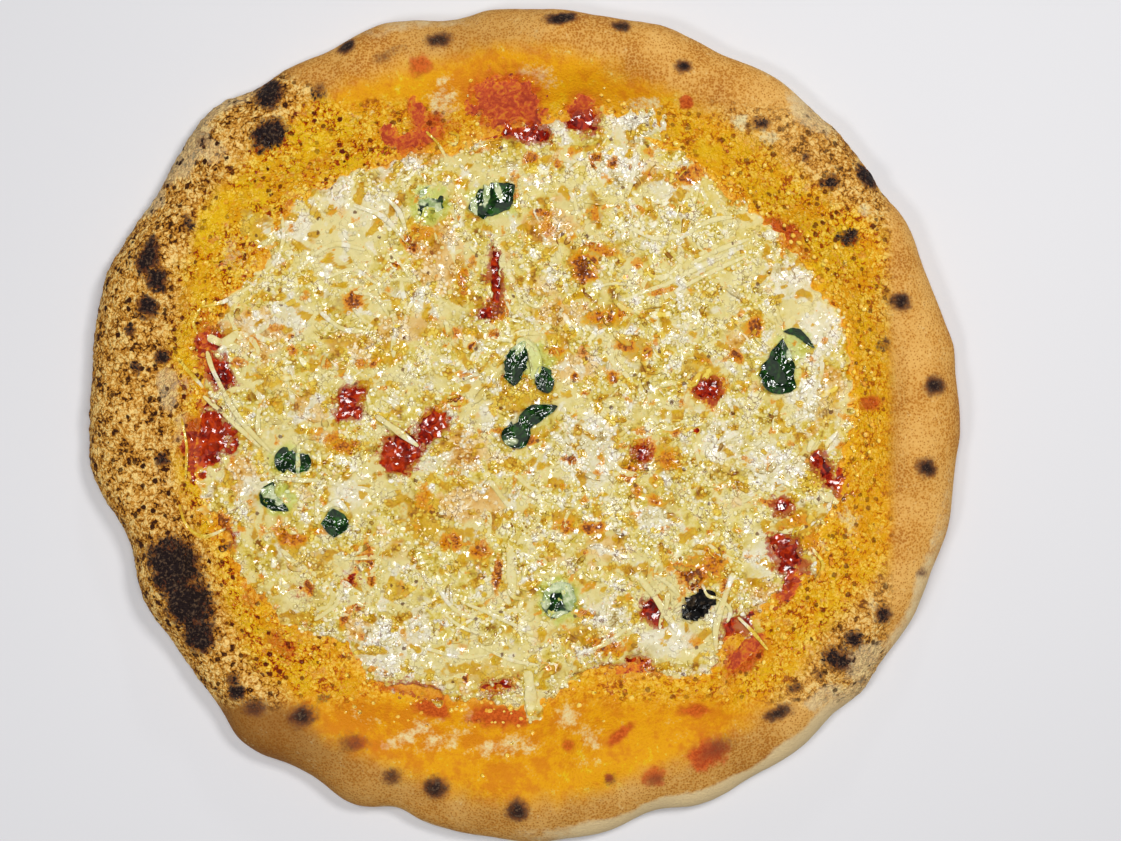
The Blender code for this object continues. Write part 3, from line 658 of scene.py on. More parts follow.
stainSpots = (
    (-6, 119, 17, 9, 0.75), (22, 114, 9, 8, 0.6), (-35.6, 126, 5, 5, 0.9), (-33, 106, 10, 5, 0.9, 20),
    (-57, 117, 5, 4, 0.3), (-113, -6, 9, 15, 1), (-112, 28, 6, 12, 0.9), (58, 113.5, 2.6, 2.6, 1.3),
    (-78, 68, 5, 4, 0.6), (-7, -104, 15, 5.4, 1, 2), (-32, -101.5, 9, 3.6, 1, -12),
    (35, -109, 7.5, 2.8, 0.95, 35), (61, -101.5, 7, 2.8, 0.85, 4), (16.3, -113, 3.2, 3, 0.8),
    (-40, -95.5, 16, 2.2, 1, -8), (92, 69.5, 10, 4.5, 1, -25), (79, 74, 6, 4, 0.5, -20),
    (111, -14, 6, 4, 0.8, -50), (124, 7.5, 4.5, 3.5, 0.9, 20), (65, -116, 9, 7, 1, 25),
    (80, -84, 12, 4, 0.9, 40), (-96, -62, 6, 5, 0.6), (-86, -78, 9, 4, 0.7, -40), (46.4, -123.7, 6, 4.6, 0.8),
    (30.5, -124, 2, 2, 0.9), (60, 92, 4, 3, 0.6), (100, 62, 6, 3, 0.6, -40), (104, -4, 3, 5, 0.5),
    (62, 86, 9, 3.6, 0.85, -22), (-50, -113, 5, 3.4, 0.5), (-84, 76, 6, 3, 0.5, 45), (-40, 96, 6, 4, 0.6, 20),
    (-58, -112, 5, 3.4, 0.7),
)
creamSpots = (
    (-28, 115, 6, 8, 1, -10), (6, 123, 8, 4, 0.9, -15), (-56, 108, 8, 3, 0.5, 30), (43, 113, 8, 3.4, 0.9, -8),
    (-40, -110, 12, 3, 0.9, 25), (-28, -112, 12, 4, 0.8, 12), (-5, -114, 13, 4, 1, 5), (17, -104, 7, 6, 0.9),
    (25, -111.5, 4.4, 5, 0.8, 20), (22, -119, 8, 2.4, 0.5, 10), (-19, -104, 3, 5, 0.6),
    (-56, -104, 8, 4, 0.4, -20), (-100, 60, 8, 10, 0.6), (77, 106.5, 3.6, 3.4, 1.2), (87, 101, 4, 2.6, 1.1),
    (121, 75, 3, 3, 0.9), (104, -44, 5, 6, 0.7), (116, -34, 4, 8, 0.8, 10), (-119, 12, 3, 6, 0.8),
    (123, -64, 3, 6, 0.5, -10), (66, -86, 12, 2.6, 0.7, 8), (118, 20, 3, 5, 0.5), (97, 84, 5, 4, 0.5),
    (-127, -18, 3, 9, 0.5),
)
paleSpots = (
    (-120, 97, 8, 14, 1.2, -38), (-125, 12, 4, 8, 0.8), (-121, -2, 3, 7, 0.6), (-131, 80, 5, 7, 1, -25),
    (102, 110, 12, 6, 0.7, -42), (-108, 96, 5, 5, 0.6), (120, -83, 9, 5, 1, 42), (106, -96, 8, 4, 0.7, 30),
)
# where oil lies smooth on the golden slope
puddles = (
    (-111, 73, 15, 9, 1, 50), (67, 96, 9, 4.6, 1, -40), (116, -7, 4, 9, 0.9), (58, -88, 14, 3.2, 0.9, 6),
    (112, 6, 3, 8, 0.7), (-72, 98, 12, 4, 0.8, 38), (32, 108, 8, 4, 0.6), (105, 53, 4, 9, 0.9, 25),
    (114, 28, 3, 10, 0.8, 8), (-93, -62, 5, 9, 0.8, 35), (-115, -41, 5, 7, 0.8, 20), (-123, -14, 4, 17, 1),
    (-120, 22, 4, 9, 0.8, 20), (-62, -86, 12, 3, 0.5, -30), (96, -86, 6, 4, 0.6, 40),
    (110, -60, 5, 8, 0.5, -20), (-92, 82, 8, 4, 0.6, 50), (82, 84, 6, 4, 0.6, -40), (-113, 50, 6, 8, 0.7),
)


# heights in mm between which the skin's kinds begin, the golden skin's right limit, and the widths of bands
skinLimits = {
    "upper": (5.5, 9), "gold": (3, 5), "goldEdge": (5, -5), "goldRight": 130.5, "rightEdge": (2.5, -2.5),
    "wander": 3.2, "wanderSize": 16, "fineWander": 1.5, "fineWanderSize": 5,
    "side": (12.5, 7.5), "sideFrom": 130, "sideLeast": 0.35, "band": (-8, -3.5), "bandHeight": (2.5, 5),
    "under": (2.5, 0.4), "crumbly": (3.2, 4.4), "char": (3, 6), "stain": (3, 5),
}


def goldLimit(a):
    # the line between the golden slope and the tan skin
    return goldRadius + puffs(a, goldPuffs)


def crustFields(x, y, z):
    # how golden, crumbly, scorched, stained and pale each point of the skin is, and how far it is darkened by
    # browning and painted shade, 0..1
    a, r = polar(x, y)
    p = flat(x, y)
    at = skinLimits
    upper = smoothstep(*at["upper"], z)
    wander = at["wander"] * fractalNoise(p, at["wanderSize"], 21)
    wander = wander + at["fineWander"] * gradientNoise(p, at["fineWanderSize"], 24)
    gold = smoothstep(*at["goldEdge"], r - goldLimit(a) - wander) * smoothstep(*at["gold"], z)
    gold = gold * smoothstep(*at["rightEdge"], x - at["goldRight"] + 0.3 * wander)
    paleSide = at["sideLeast"] + (1 - at["sideLeast"]) * np.clip(puffs(a, palePuffs), 0, 1)
    side = smoothstep(*at["side"], z + 1.2 * gradientNoise(p, 12, 22)) * (r > at["sideFrom"])
    rimBand = smoothstep(*at["band"], r - edgeRadius(a) + 2 * gradientNoise(p, 16, 23))
    rimBand = rimBand * smoothstep(*at["bandHeight"], z) * np.clip(puffs(a, edgePalePuffs), 0, 1)
    underneath = smoothstep(*at["under"], z)
    pale = np.maximum(spots(x, y, paleSpots, 0.35, 35) * upper, rimBand)
    stain = np.maximum(spots(x, y, stainSpots, 0.4, 33, 0.3), spots(x, y, saucePatches, 0.5, 57, 0.4))
    return {
        "gold": gold,
        "crumbly": crumblyShare(x, y, a, r) * smoothstep(*at["crumbly"], z),
        "puddle": spots(x, y, puddles, 0.5, 39, 0.3) * gold,
        "char": spots(x, y, charSpots, 0.3, 31, 0.15) * smoothstep(*at["char"], z),
        "stain": stain * smoothstep(*at["stain"], z),
        "pale": np.maximum(pale, paleSide * side * (1 - underneath)),
        "cream": spots(x, y, creamSpots, 0.6, 37, 0.2),
        "under": underneath,
        "baked": np.clip(puffs(a, browningAndShadePuffs), 0, 1) * upper,
    }


def makeCrustMaterial():
    # tan skin outside and golden skin inside, crumbs, what lies on them, scorched places and the sole
    look = crustLook
    material, tree, shader = newMaterial("bakedDough", **{"Specular IOR Level": 0.2})
    gold, crumbly, baked = (field(tree, name) for name in ("gold", "crumbly", "baked"))
    patchy = noise(tree, 22, 3.0)
    mottle = noise(tree, 4.5, 3.0, 0.6)
    fine = noise(tree, 1.1, 2.0, 0.6)
    pores = voronoi(tree, place(tree), look["poresPerMetre"])["Distance"]
    tanMix = remap(tree, weigh(tree, (patchy, 0.6), (mottle, 0.15), (fine, 0.25)), 0.34, 0.66)
    tan = ramp(tree, tanMix, ((0, look["tanDark"]), (0.45, look["tan"]), (1, look["tanLight"])))
    grain = remap(tree, pores, 0.45, 0.12, 0.0, 0.95)
    tan = mixColour(tree, grain, tan, look["tanDark"])
    tan = mixColour(tree, remap(tree, pores, 0.45, 0.7, 0.0, 0.65), tan, look["tanLight"])
    # painted shade and browning: the tan and golden skin are darkened along the rim's puffs
    tan = mixColour(tree, baked, tan, mixColour(tree, 0.75, tan, look["baked"]))
    goldMix = weigh(tree, (mottle, 0.5), (patchy, 0.35), (fine, 0.15), (baked, -0.12))
    golden = ramp(tree, remap(tree, goldMix, 0.36, 0.64),
                  ((0, look["goldSoft"]), (0.4, look["gold"]), (0.7, look["gold"]), (1, look["goldYellow"])))
    golden = mixColour(tree, times(tree, grain, 0.5), golden, look["goldSoft"])
    skin = mixColour(tree, gold, tan, golden)
    # the crumbly skin: bent cells of two sizes, each with its own tone, with painted shade in the crevices
    # between them and a painted highlight on their middles
    bent = wandering(tree, 1.7, 3.0)
    crumbs = voronoi(tree, bent, look["crumbsPerMetre"])
    flakes = voronoi(tree, bent, look["flakesPerMetre"])
    crumbTone, flakeTone = channel(tree, crumbs["Color"], 1), channel(tree, flakes["Color"], 0)
    crumbMix = weigh(tree, (crumbTone, 0.34), (flakeTone, 0.3), (crumbs["Distance"], -0.75),
                     (mottle, 0.6), (fine, 0.55), 0.02)
    crumb = ramp(tree, crumbMix, ((0.2, look["crumbShadeAndScorch"]), (0.36, look["crumb"]), (0.55, look["crumbTan"]),
                                  (0.82, look["crumbPaleAndHighlight"])))
    # on the golden slope the crumbs are drowned in oil here and there
    hue = mixColour(tree, remap(tree, noise(tree, 9, 2.0), 0.4, 0.6), look["gold"], look["goldYellow"])
    drowned = remap(tree, noise(tree, 8, 2.0), 0.42, 0.6, 1.5, 0.75)
    goldCrumbs = weigh(tree, (weigh(tree, crumbMix, -0.52), drowned), 0.52)
    # painted shade in the golden crumbs' crevices and painted highlight on their middles
    goldenCrumb = ramp(tree, goldCrumbs, ((0.1, look["goldCreviceShade"]), (0.24, look["goldDark"]),
                                          (0.36, look["gold"]), (0.62, look["gold"]),
                                          (0.86, look["goldPaleAndHighlight"])))
    between = times(tree, remap(tree, goldCrumbs, 0.3, 0.45), remap(tree, goldCrumbs, 0.7, 0.55))
    goldenCrumb = mixColour(tree, between, goldenCrumb, hue)
    crumb = mixColour(tree, times(tree, gold, 0.92), crumb, goldenCrumb)
    skin = mixColour(tree, crumbly, skin, crumb)
    # oil that lies smooth, pale and creamy dough, and what sauce and oil have stained
    puddle = remap(tree, weigh(tree, field(tree, "puddle"), (mottle, 0.8), -0.4), 0.15, 0.9, 0.0, 0.6)
    oil = mixColour(tree, remap(tree, patchy, 0.4, 0.6), look["puddle"], look["goldYellow"])
    skin = mixColour(tree, puddle, skin, oil)
    paleMix = remap(tree, weigh(tree, field(tree, "pale"), (mottle, 0.7), (fine, 0.3), -0.5), 0.2, 0.8)
    paleMix = times(tree, paleMix, weigh(tree, (crumbly, -0.35), 0.85))
    skin = mixColour(tree, paleMix, skin, look["pale"])
    creamMix = weigh(tree, field(tree, "cream"), (mottle, 2.2), (fine, 1.8), -2.3)
    skin = mixColour(tree, remap(tree, creamMix, 0.0, 1.2, 0.0, 0.9), skin, look["cream"])
    stainMix = weigh(tree, field(tree, "stain"), (mottle, 0.6), (fine, 0.4), -0.5)
    stain = mixColour(tree, remap(tree, fine, 0.4, 0.6), look["stainDark"], look["stain"])
    skin = mixColour(tree, remap(tree, stainMix, 0.15, 1.0, 0.0, 0.88), skin, stain)
    wet = times(tree, gold, crumbly)
    skin = mixColour(tree, times(tree, remap(tree, mottle, 0.55, 0.68, 0.0, 0.5), wet), skin, look["stain"])
    # small burst bubbles with burnt rims, most of them where the skin is crumbly
    craggy = times(tree, crumbly, weigh(tree, (puddle, -0.8), 1.0))
    small = useGroup(tree, bakedSpecks, look["smallSpecks"])["Speck"]
    large = useGroup(tree, bakedSpecks, look["largeSpecks"])["Speck"]
    speck = times(tree, calc(tree, "MAXIMUM", times(tree, small, 0.85), large), craggy)
    skin = mixColour(tree, speck, skin, mixColour(tree, gold, look["crumbShadeAndScorch"], look["goldSpeck"]))
    # scorched places: fuzzy on smooth skin, broken up crumb by crumb where it is crumbly
    charred = field(tree, "char")
    broken = weigh(tree, (crumbTone, 0.6), (flakeTone, 0.5), (crumbs["Distance"], -0.4), -0.28)
    uneven = weigh(tree, times(tree, broken, crumbly), (fine, 0.5), -0.25)
    charMix = weigh(tree, charred, times(tree, uneven, remap(tree, charred, 0.0, 0.2)))
    skin = mixColour(tree, remap(tree, charMix, 0.05, 0.6, 0.0, 0.85), skin, look["halo"])
    ash = mixColour(tree, remap(tree, fine, 0.5, 0.68), look["char"], look["ash"])
    skin = mixColour(tree, remap(tree, charMix, 0.4, 0.8), skin, ash)
    # the sole: dry, floury and browned in round patches
    browned = ramp(tree, noise(tree, 9, 4.0, 0.65), ((0.38, look["flour"]), (0.52, look["sole"]),
                                                     (0.66, look["halo"]), (0.78, look["char"])))
    skin = mixColour(tree, field(tree, "under"), skin, browned)
    tree.links.new(skin, shader.inputs["Base Color"])
    crags = weigh(tree, (crumbs["Distance"], -1.3), (flakes["Distance"], -0.9), (mottle, 0.8))
    relief = weigh(tree, times(tree, crags, craggy), (fine, 0.35), (pores, -0.4), (speck, -0.8))
    skinOil = useGroup(tree, oilySkin, {**look["oil"], "Facet lean": times(tree, wet, look["oilLean"]),
                                        "Film": times(tree, wet, look["oilFilm"])})
    dry = weigh(tree, (gold, -0.1), (mottle, 0.2), look["dryRoughness"])
    tree.links.new(remap(tree, wet, 0.0, 1.0, dry, skinOil["Roughness"]), shader.inputs["Roughness"])
    bumped(tree, shader, relief, look["bumpHeight"], skinOil["Normal"])
    return material


def crustSurface():
    # the profile runs from the middle of the top over slope, crest, outer side and tucked-in edge to the
    # middle of the sole, and is carried round the outline
    columns = crust["columns"]
    a = np.arange(columns)[None, :] * 2 * np.pi / columns
    foot, edge, crest, crestAt = footRadius(a), edgeRadius(a), crestHeight(a), crestRadius(a)
    hidden = np.linspace(0.12, 0.93, crust["hiddenRows"])[:, None] * foot
    share = np.linspace(-0.12, 1, crust["slopeRows"])[:, None]
    inner = np.concatenate([hidden, foot + share * (crestAt - foot)])
    x, y = inner * np.cos(a), inner * np.sin(a)
    innerPoints = np.stack([x, y, crustTop(x, y)], axis=-1)
    turn = np.linspace(0, np.pi / 2, crust["outerRows"] + 1)[1:, None]
    outerR = crestAt + (edge - crestAt) * np.sin(turn)
    outerZ = pizza["widestHeight"] + (crest - pizza["widestHeight"]) * np.cos(turn)
    turn = np.linspace(0, np.pi / 2, crust["tuckRows"] + 1)[1:, None]
    tuckR = edge - pizza["soleTuck"] * (1 - np.cos(turn))
    tuckZ = pizza["widestHeight"] * (1 - np.sin(turn)) + 0 * edge
    bareR = np.concatenate([crestAt, outerR, tuckR])
    bareZ = np.concatenate([crest, outerZ, tuckZ])
    bare = np.stack([bareR * np.cos(a), bareR * np.sin(a), bareZ], axis=-1)
    along = np.roll(bare, -1, axis=1) - np.roll(bare, 1, axis=1)
    normal = np.cross(np.gradient(bare, axis=0), along)
    normal /= np.linalg.norm(normal, axis=-1)[..., None]
    normal[0] = (0, 0, 1)
    outerPoints = (bare + normal * rimRelief(bare[..., 0], bare[..., 1], bare[..., 2])[..., None])[1:]
    share = np.linspace(1, 0.06, crust["soleRows"])[1:, None]
    soleR = outerPoints[-1:, :, :2] * share[..., None]
    dents = smoothstep(0.1, 0.9, fractalNoise(flat(soleR[..., 0], soleR[..., 1]), crust["soleDentSize"], 41))
    soleZ = crust["soleDent"] * dents * smoothstep(0.06, 0.3, share) * smoothstep(1.0, 0.96, share)
    rows = np.concatenate([innerPoints, outerPoints, np.concatenate([soleR, soleZ[..., None]], axis=-1)])
    points = np.concatenate([rows.reshape(-1, 3), [[0, 0, pizza["baseThickness"]], [0, 0, 0]]])
    count = rows.shape[0] * columns
    ring = np.arange(columns)
    groups = [gridFaces(rows.shape[0], columns, True)[:, ::-1],
              fanFaces(ring, count, False), fanFaces(count - columns + ring, count + 1, True)]
    return points, groups


def makeCrust(points, groups):
    # the dough, from the surface worked out before the frame was fitted to it
    fields = crustFields(points[:, 0], points[:, 1], points[:, 2])
    obj = newPiece("bakedCrust", points, groups, fields, makeCrustMaterial())
    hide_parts("crust")
    print("crust made:", len(points), "points")


# Part: the tomato sauce

sauce = {
    "size": 230, "lumpHeight": 1.2, "lumpSize": 5.0, "patchHeight": 12, "patchDepth": 5, "lining": 0.6,
    "edgeWander": 2.2, "edgeSize": 7, "fineSize": 2.6, "buried": 0.5, "over": 0.3,
    "grit": 0.4, "gritSize": 1.7,
    "thinLumps": 0.7,  # how much flatter its lumps are beyond the cheese
    "deep": srgb(70, 4, 0), "red": srgb(140, 18, 0), "orange": srgb(196, 62, 4),
    "oil": {"Facets per metre": 420.0, "Facet lean": 0.42, "Roughness": 0.1, "Film": 0.55}, "bumpHeight": 0.3,
    "topPuff": (93, 14, 9.0),  # the grid reaches further out here: (degrees, half width, mm)
}
# where the sauce reaches past the cheese onto the crust: (degrees, half width, mm)
saucePuffs = (
    (88, 12, 5.0), (110, 8, 4.0), (167, 6, 5.0), (186, 8, 7.0), (349, 5, 5.0), (334, 7, 5.0), (318, 6, 6.0),
)
# spots of sauce on the crust beyond the cheese
saucePatches = (
    (-5, 114, 15, 9.5, 1, -4), (21.5, 111, 6, 6.4, 1), (-38, 101.5, 14, 3, 1, 17),
    (-37, 110, 3.4, 6.4, 0.9, 20), (-47, 103, 4, 5, 0.8, 30), (-109, -6, 5, 9, 0.9, 5),
    (-107, 19, 4, 7, 1, 25), (-112, 30, 3, 4, 0.7), (95, -58, 8, 3.6, 1, 65), (79, -81, 11, 2.6, 1, 44),
)
# gaps in the cheese where the sauce shows; their strength is their depth
sauceGaps = (
    (-43, -9.5, 8.5, 6.5, 1, 30), (-33, -1.5, 8, 4.5, 0.8, 35), (-61.8, 7.5, 6, 4.6, 1, 65),
    (-9.6, 52, 11, 1.9, 0.9, 92), (-13, 40, 4, 2.2, 0.7, 45), (94.5, -47, 10, 4.2, 1, -66),
    (95.5, -61.5, 7, 3, 0.9, 56), (76, -73, 5, 4.4, 1, 30), (77, -82, 9, 2.2, 0.9, 41),
    (46.5, -66.5, 4.6, 3.2, 1, -60), (66.7, 12.4, 3.8, 3.6, 1), (42.4, -10.6, 2.6, 3, 0.8),
    (-5, 112, 15, 7, 1), (2, 104, 9, 2.6, 1, -8), (22, 109, 5, 5, 0.9, 70), (-38, 101.5, 14, 2.6, 1, 17),
    (-113, -4, 9, 11, 1), (-108, 18.5, 4.4, 6.4, 1, 25), (-111, 31, 5, 3.5, 0.8, 60),
    (107, -15, 6.5, 2.6, 0.9, -60), (113, -22, 5, 2.4, 0.9, -25), (92.5, -29, 3.2, 2.4, 0.9),
    (30, -90, 8, 4.5, 0.7, 10), (-8, -93.5, 9, 2, 0.6, 12), (42, -86, 5, 3.5, 0.6),
    (-60, -54, 4, 2.4, 0.5, 60), (-78, -60, 4, 2.4, 0.45), (-105, -41, 2.4, 3, 0.8),
    (-38, -95, 12, 2, 0.8, -8),
)


def sauceRadius(a):
    # the sauce ends just under the cheese's edge, apart from its puffs
    return cheeseRadius(a) - 3 + puffs(a, saucePuffs)


def sauceThickness(x, y):
    # full inside the sauce's outline and in its patches, below the crust outside them, and lumpy with crushed
    # tomato: folds 1 - |noise| and fine noise
    a, r = polar(x, y)
    p = flat(x, y)
    inside = sauceRadius(a) - r + sauce["edgeWander"] * fractalNoise(p, sauce["edgeSize"], 51)
    inside = inside + gradientNoise(p, sauce["fineSize"], 54)
    patches = sauce["patchHeight"] * spots(x, y, saucePatches, 0.6, 55, 0.2) - sauce["patchDepth"]
    inside = np.maximum(inside, patches)
    folds = 1 - 2.2 * np.abs(fractalNoise(p * (1, 0.6, 1), sauce["lumpSize"], 52))
    grit = sauce["grit"] * gradientNoise(p, sauce["gritSize"], 53)
    lump = sauce["lumpHeight"] * (0.6 * np.clip(folds, -0.3, 1) + grit)
    lump = lump * (1 - sauce["thinLumps"] * smoothstep(0, 6, r - cheeseRadius(a)))
    full = pizza["sauceThickness"] + sauce["over"]
    return -sauce["buried"] + full * smoothstep(-1.5, 3, inside) + lump * smoothstep(0, 5, inside)


def sauceTop(x, y):
    # the sauce's surface, thickness over crust
    return crustTop(x, y) + sauceThickness(x, y)


def makeSauceMaterial():
    # red pulp, orange where oil stands on it; beyond the cheese it is thin and soaks into the crust
    look = sauce
    material, tree, shader = newMaterial("tomatoSauce", **{"Specular IOR Level": 0.5})
    thin = field(tree, "thin")
    pulp = noise(tree, 3.2, 4.0, 0.62, 1.2)
    skin = ramp(tree, remap(tree, pulp, 0.32, 0.68),
                ((0, look["deep"]), (0.5, look["red"]), (1, look["orange"])))
    skin = mixColour(tree, remap(tree, noise(tree, 11, 3.0), 0.5, 0.68, 0.0, 0.4), skin, look["orange"])
    grit = remap(tree, weigh(tree, (noise(tree, 1.1, 2.0, 0.6), 0.35), (pulp, 0.65)), 0.36, 0.66)
    soaked = ramp(tree, grit, ((0, crustLook["stainDark"]), (0.55, crustLook["stain"]),
                               (1, crustLook["goldSoft"])))
    skin = mixColour(tree, times(tree, thin, 0.85), skin, soaked)
    margin = ramp(tree, grit, ((0, crustLook["goldSpeck"]), (0.3, crustLook["stain"]),
                               (1, crustLook["gold"])))
    fade = weigh(tree, field(tree, "edge"), (noise(tree, 3.0, 3.0, 0.6), 0.9), -0.45)
    skin = mixColour(tree, remap(tree, fade, 0.3, 1.0), skin, margin)
    tree.links.new(skin, shader.inputs["Base Color"])
    oily(tree, shader, {**look["oil"], "Wet share": weigh(tree, (thin, -0.9), 0.8)}, look["bumpHeight"])
    return material


def makeSauce(material):
    # the sauce is a sheet over the crust, mostly hidden under the cheese
    def fieldsOf(x, y):
        a, r = polar(x, y)
        beyond = r - cheeseRadius(a)
        return {"thin": smoothstep(-1, 5, beyond),
                "edge": smoothstep(1.6, 0.1, sauceThickness(x, y)) * smoothstep(-2, 2, beyond)}

    def radius(a):
        return footRadius(a) + 10 + puffs(a, (sauce["topPuff"],))

    obj = shell("tomatoPulp", sauce["size"], radius, sauceTop, sauce["lining"], fieldsOf, material)
    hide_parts("tomato_sauce")
    print("sauce made")


# Part: the melted cheese

cheese = {
    "size": 300, "edgeWander": 4.6, "edgeSize": 11, "fineWander": 2.2, "fineSize": 3.2,
    "pinholeDepth": 2.2, "pinholeSize": 5, "pinholeRegion": 26, "gapDepth": 4.2, "gapRoughness": 1.6,
    "buried": 0.8, "patchHeight": 2.0, "lining": 0.6,
    # soft lumps, and ridges of shreds: heights and sizes in mm, and how narrow a ridge is for its length
    "lumpHeight": 0.65, "lumpSize": 9, "fineLumps": 0.4, "fineLumpSize": 2.6,
    "ridgeHeight": 0.176, "ridgeSize": 2.0, "ridgeSquash": 0.4, "bend": 3.0, "bendSize": 7, "calm": 0.75,
    # from the crevices up to the highest curds, plain and in the patches; on grains the low shades also stand
    # for painted shade under them and the high ones for painted light on their tops
    "plain": (srgb(140, 86, 0), srgb(208, 182, 58), srgb(227, 212, 130), srgb(250, 244, 206)),
    "peach": (srgb(140, 64, 0), srgb(208, 142, 44), srgb(229, 190, 120), srgb(250, 230, 190)),
    "oil": (srgb(120, 60, 0), srgb(190, 134, 0), srgb(212, 168, 6), srgb(240, 214, 80)),
    "white": (srgb(156, 120, 40), srgb(216, 204, 152), srgb(236, 230, 202), srgb(252, 250, 240)),
    "green": (srgb(80, 100, 10), srgb(172, 180, 56), srgb(202, 210, 108), srgb(226, 234, 180)),
    "soaked": (srgb(170, 60, 0), srgb(222, 136, 0), srgb(238, 172, 8), srgb(250, 216, 78)),
    "creaseShade": srgb(124, 74, 0), "melt": srgb(230, 219, 166),
    "toastEdge": srgb(224, 152, 0), "toast": srgb(202, 104, 0), "brown": srgb(92, 32, 0),
    "bare": srgb(166, 40, 0),
    "oilySkin": {"Facets per metre": 640.0, "Facet lean": 0.45, "Roughness": 0.13}, "bumpHeight": 0.3,
    "specks": {"Cells per metre": 230.0, "Share": 0.14, "Size": 0.2}, "creasesPerMetre": 430.0,
}
# how each attribute changes the colour, one after another: (attribute, colours, from, to, most)
cheeseLayers = (("peach", "peach", 0.3, 0.8, 0.8), ("white", "white", 0.2, 0.7, 0.9),
                ("oil", "oil", 0.3, 0.75, 0.95), ("green", "green", 0.3, 0.85, 0.8),
                ("thinness", "soaked", 0.35, 1.0, 0.9))
cheeseStains = (("toast", "toastEdge", 0.12, 0.5, 0.85), ("toast", "toast", 0.45, 0.9, 0.85),
                ("toast", "brown", 0.75, 1.1, 0.9), ("wet", "bare", 0.35, 0.8, 0.8))
# patches of cheese past the sheet's edge, then oily, white, peach, toasted and green spots
ringPatches = (
    (-94, 70, 6, 8, 0.6, 30), (75, 108, 3.6, 3.2, 1.2), (79, 101, 4, 2, 0.8, 30), (42, 106, 9, 6, 0.9),
    (104, -34, 6, 4, 0.9, 60), (102, -50, 7, 3, 0.8, -75), (4, -100, 3, 7, 0.9), (80, -72, 5, 8, 0.5, 30),
)
oilPools = (
    (-48, 25, 7, 5, 0.9, 10), (-36, 68, 6, 4, 0.8), (-21, 50, 4, 8, 0.7), (0, 12, 12, 9, 0.8, 20),
    (-35, -33, 7, 10, 0.9, 10), (-25, -41, 6, 5, 0.9), (-45, -60, 5, 5, 0.7), (-15, -47, 6, 5, 0.7),
    (-63, -8, 9, 4, 0.8), (-83, -42, 8, 5, 0.8, -30), (-108, -40, 5, 6, 0.8), (22, 58, 7, 8, 0.7),
    (30, 62, 10, 4, 0.7), (30, 38, 11, 5, 0.7), (40, 27, 9, 5, 0.7, -15), (66, 14, 8, 8, 0.9),
    (52, -12, 7, 6, 0.8), (38, -17, 5, 7, 0.8, -30), (16, -35, 6, 5, 0.8), (67, -50, 8, 8, 0.9),
    (83, 36, 5, 5, 0.7), (12, 27, 5, 6, 0.8), (57, 88, 6, 5, 0.7), (98, -38, 9, 8, 0.9),
    (103, -20, 5, 6, 0.8), (-105, 68, 17, 13, 0.9, 60), (-91, 16, 8, 6, 0.7, 30), (20, -76, 12, 5, 0.7),
    (-14, -89, 20, 5, 0.6), (26, 76, 3, 8, 0.6), (-75, -50, 11, 6, 0.6, -20), (-65, 30, 9, 3, 0.6),
    (-32, 33, 8, 3, 0.5), (4, -36, 3, 9, 0.5), (-96, -30, 3, 8, 0.5), (-70, -22, 8, 4, 0.4),
    (70, -16, 6, 5, 0.5), (-8, 60, 6, 6, 0.3), (60, 20, 5, 5, 0.6), (-2, -62, 6, 10, 0.4),
    (45, 52, 8, 4, 0.4), (108, 6, 5, 8, 0.6), (-85, 12, 7, 5, 0.5), (98, -48, 6, 12, 0.6),
)
whiteSpots = (
    (24, -10, 11, 14, 0.9), (-50, -80, 9, 10, 1), (-37, -73, 5, 8, 0.9), (-67, 83, 6, 6, 0.8),
    (-52, 77, 12, 9, 0.5), (-19, 18, 4, 4, 0.7), (105, 32, 8, 11, 0.9, -30), (95, 52, 9, 7, 0.8, -40),
    (48, -34, 8, 5, 0.8), (-80, 70, 5, 6, 0.9), (40, 106, 9, 6, 0.9), (35, 92, 9, 8, 0.8),
    (72, -6, 10, 9, 0.6), (88, -14, 9, 10, 0.7), (-95, -24, 6, 7, 0.7), (50, -77, 12, 6, 0.9, 5),
    (-62, -25, 8, 7, 0.6), (30, -68, 9, 7, 0.6), (103, 8, 8, 8, 0.8), (-82, 38, 7, 6, 0.7),
    (52, 84, 8, 6, 0.6), (42, 70, 12, 8, 0.4), (-37, 44, 3, 5, 0.7), (-45, 92, 8, 4, 0.7, 20),
    (86, -48, 5, 9, 0.7), (-93, 34, 8, 5, 0.5), (55, 32, 7, 5, 0.5), (-86, -50, 5, 5, 0.4),
    (-12, 3, 4, 5, 0.8), (-30, -10, 6, 5, 0.6), (5, 103, 5, 3, 0.7), (12, 108, 4, 6, 0.8),
)
peachSpots = (
    (-95, 33, 14, 9, 0.9), (-30, 60, 10, 14, 0.9), (-42, 34, 14, 7, 0.7, 10), (-60, 27, 10, 8, 0.7),
    (10, 70, 12, 8, 0.8), (14, 40, 13, 6, 0.7), (-20, -10, 9, 9, 0.8), (-18, -28, 15, 8, 0.8),
    (30, -44, 11, 6, 0.7), (86, -62, 5, 9, 0.9), (-40, -76, 6, 5, 0.7), (76, 30, 4, 6, 0.6),
    (110, 14, 6, 8, 0.7), (20, 20, 11, 6, 0.8), (-100, -18, 7, 9, 0.8), (-58, -72, 6, 6, 0.9),
    (-76, 6, 9, 7, 0.7), (46, 90, 8, 6, 0.6), (-35, 96, 8, 4, 0.8), (60, 48, 12, 8, 0.4, 30),
    (-45, -45, 8, 6, 0.5), (8, 50, 8, 6, 0.6), (-70, -62, 8, 5, 0.4), (-8, -14, 6, 5, 0.7),
)
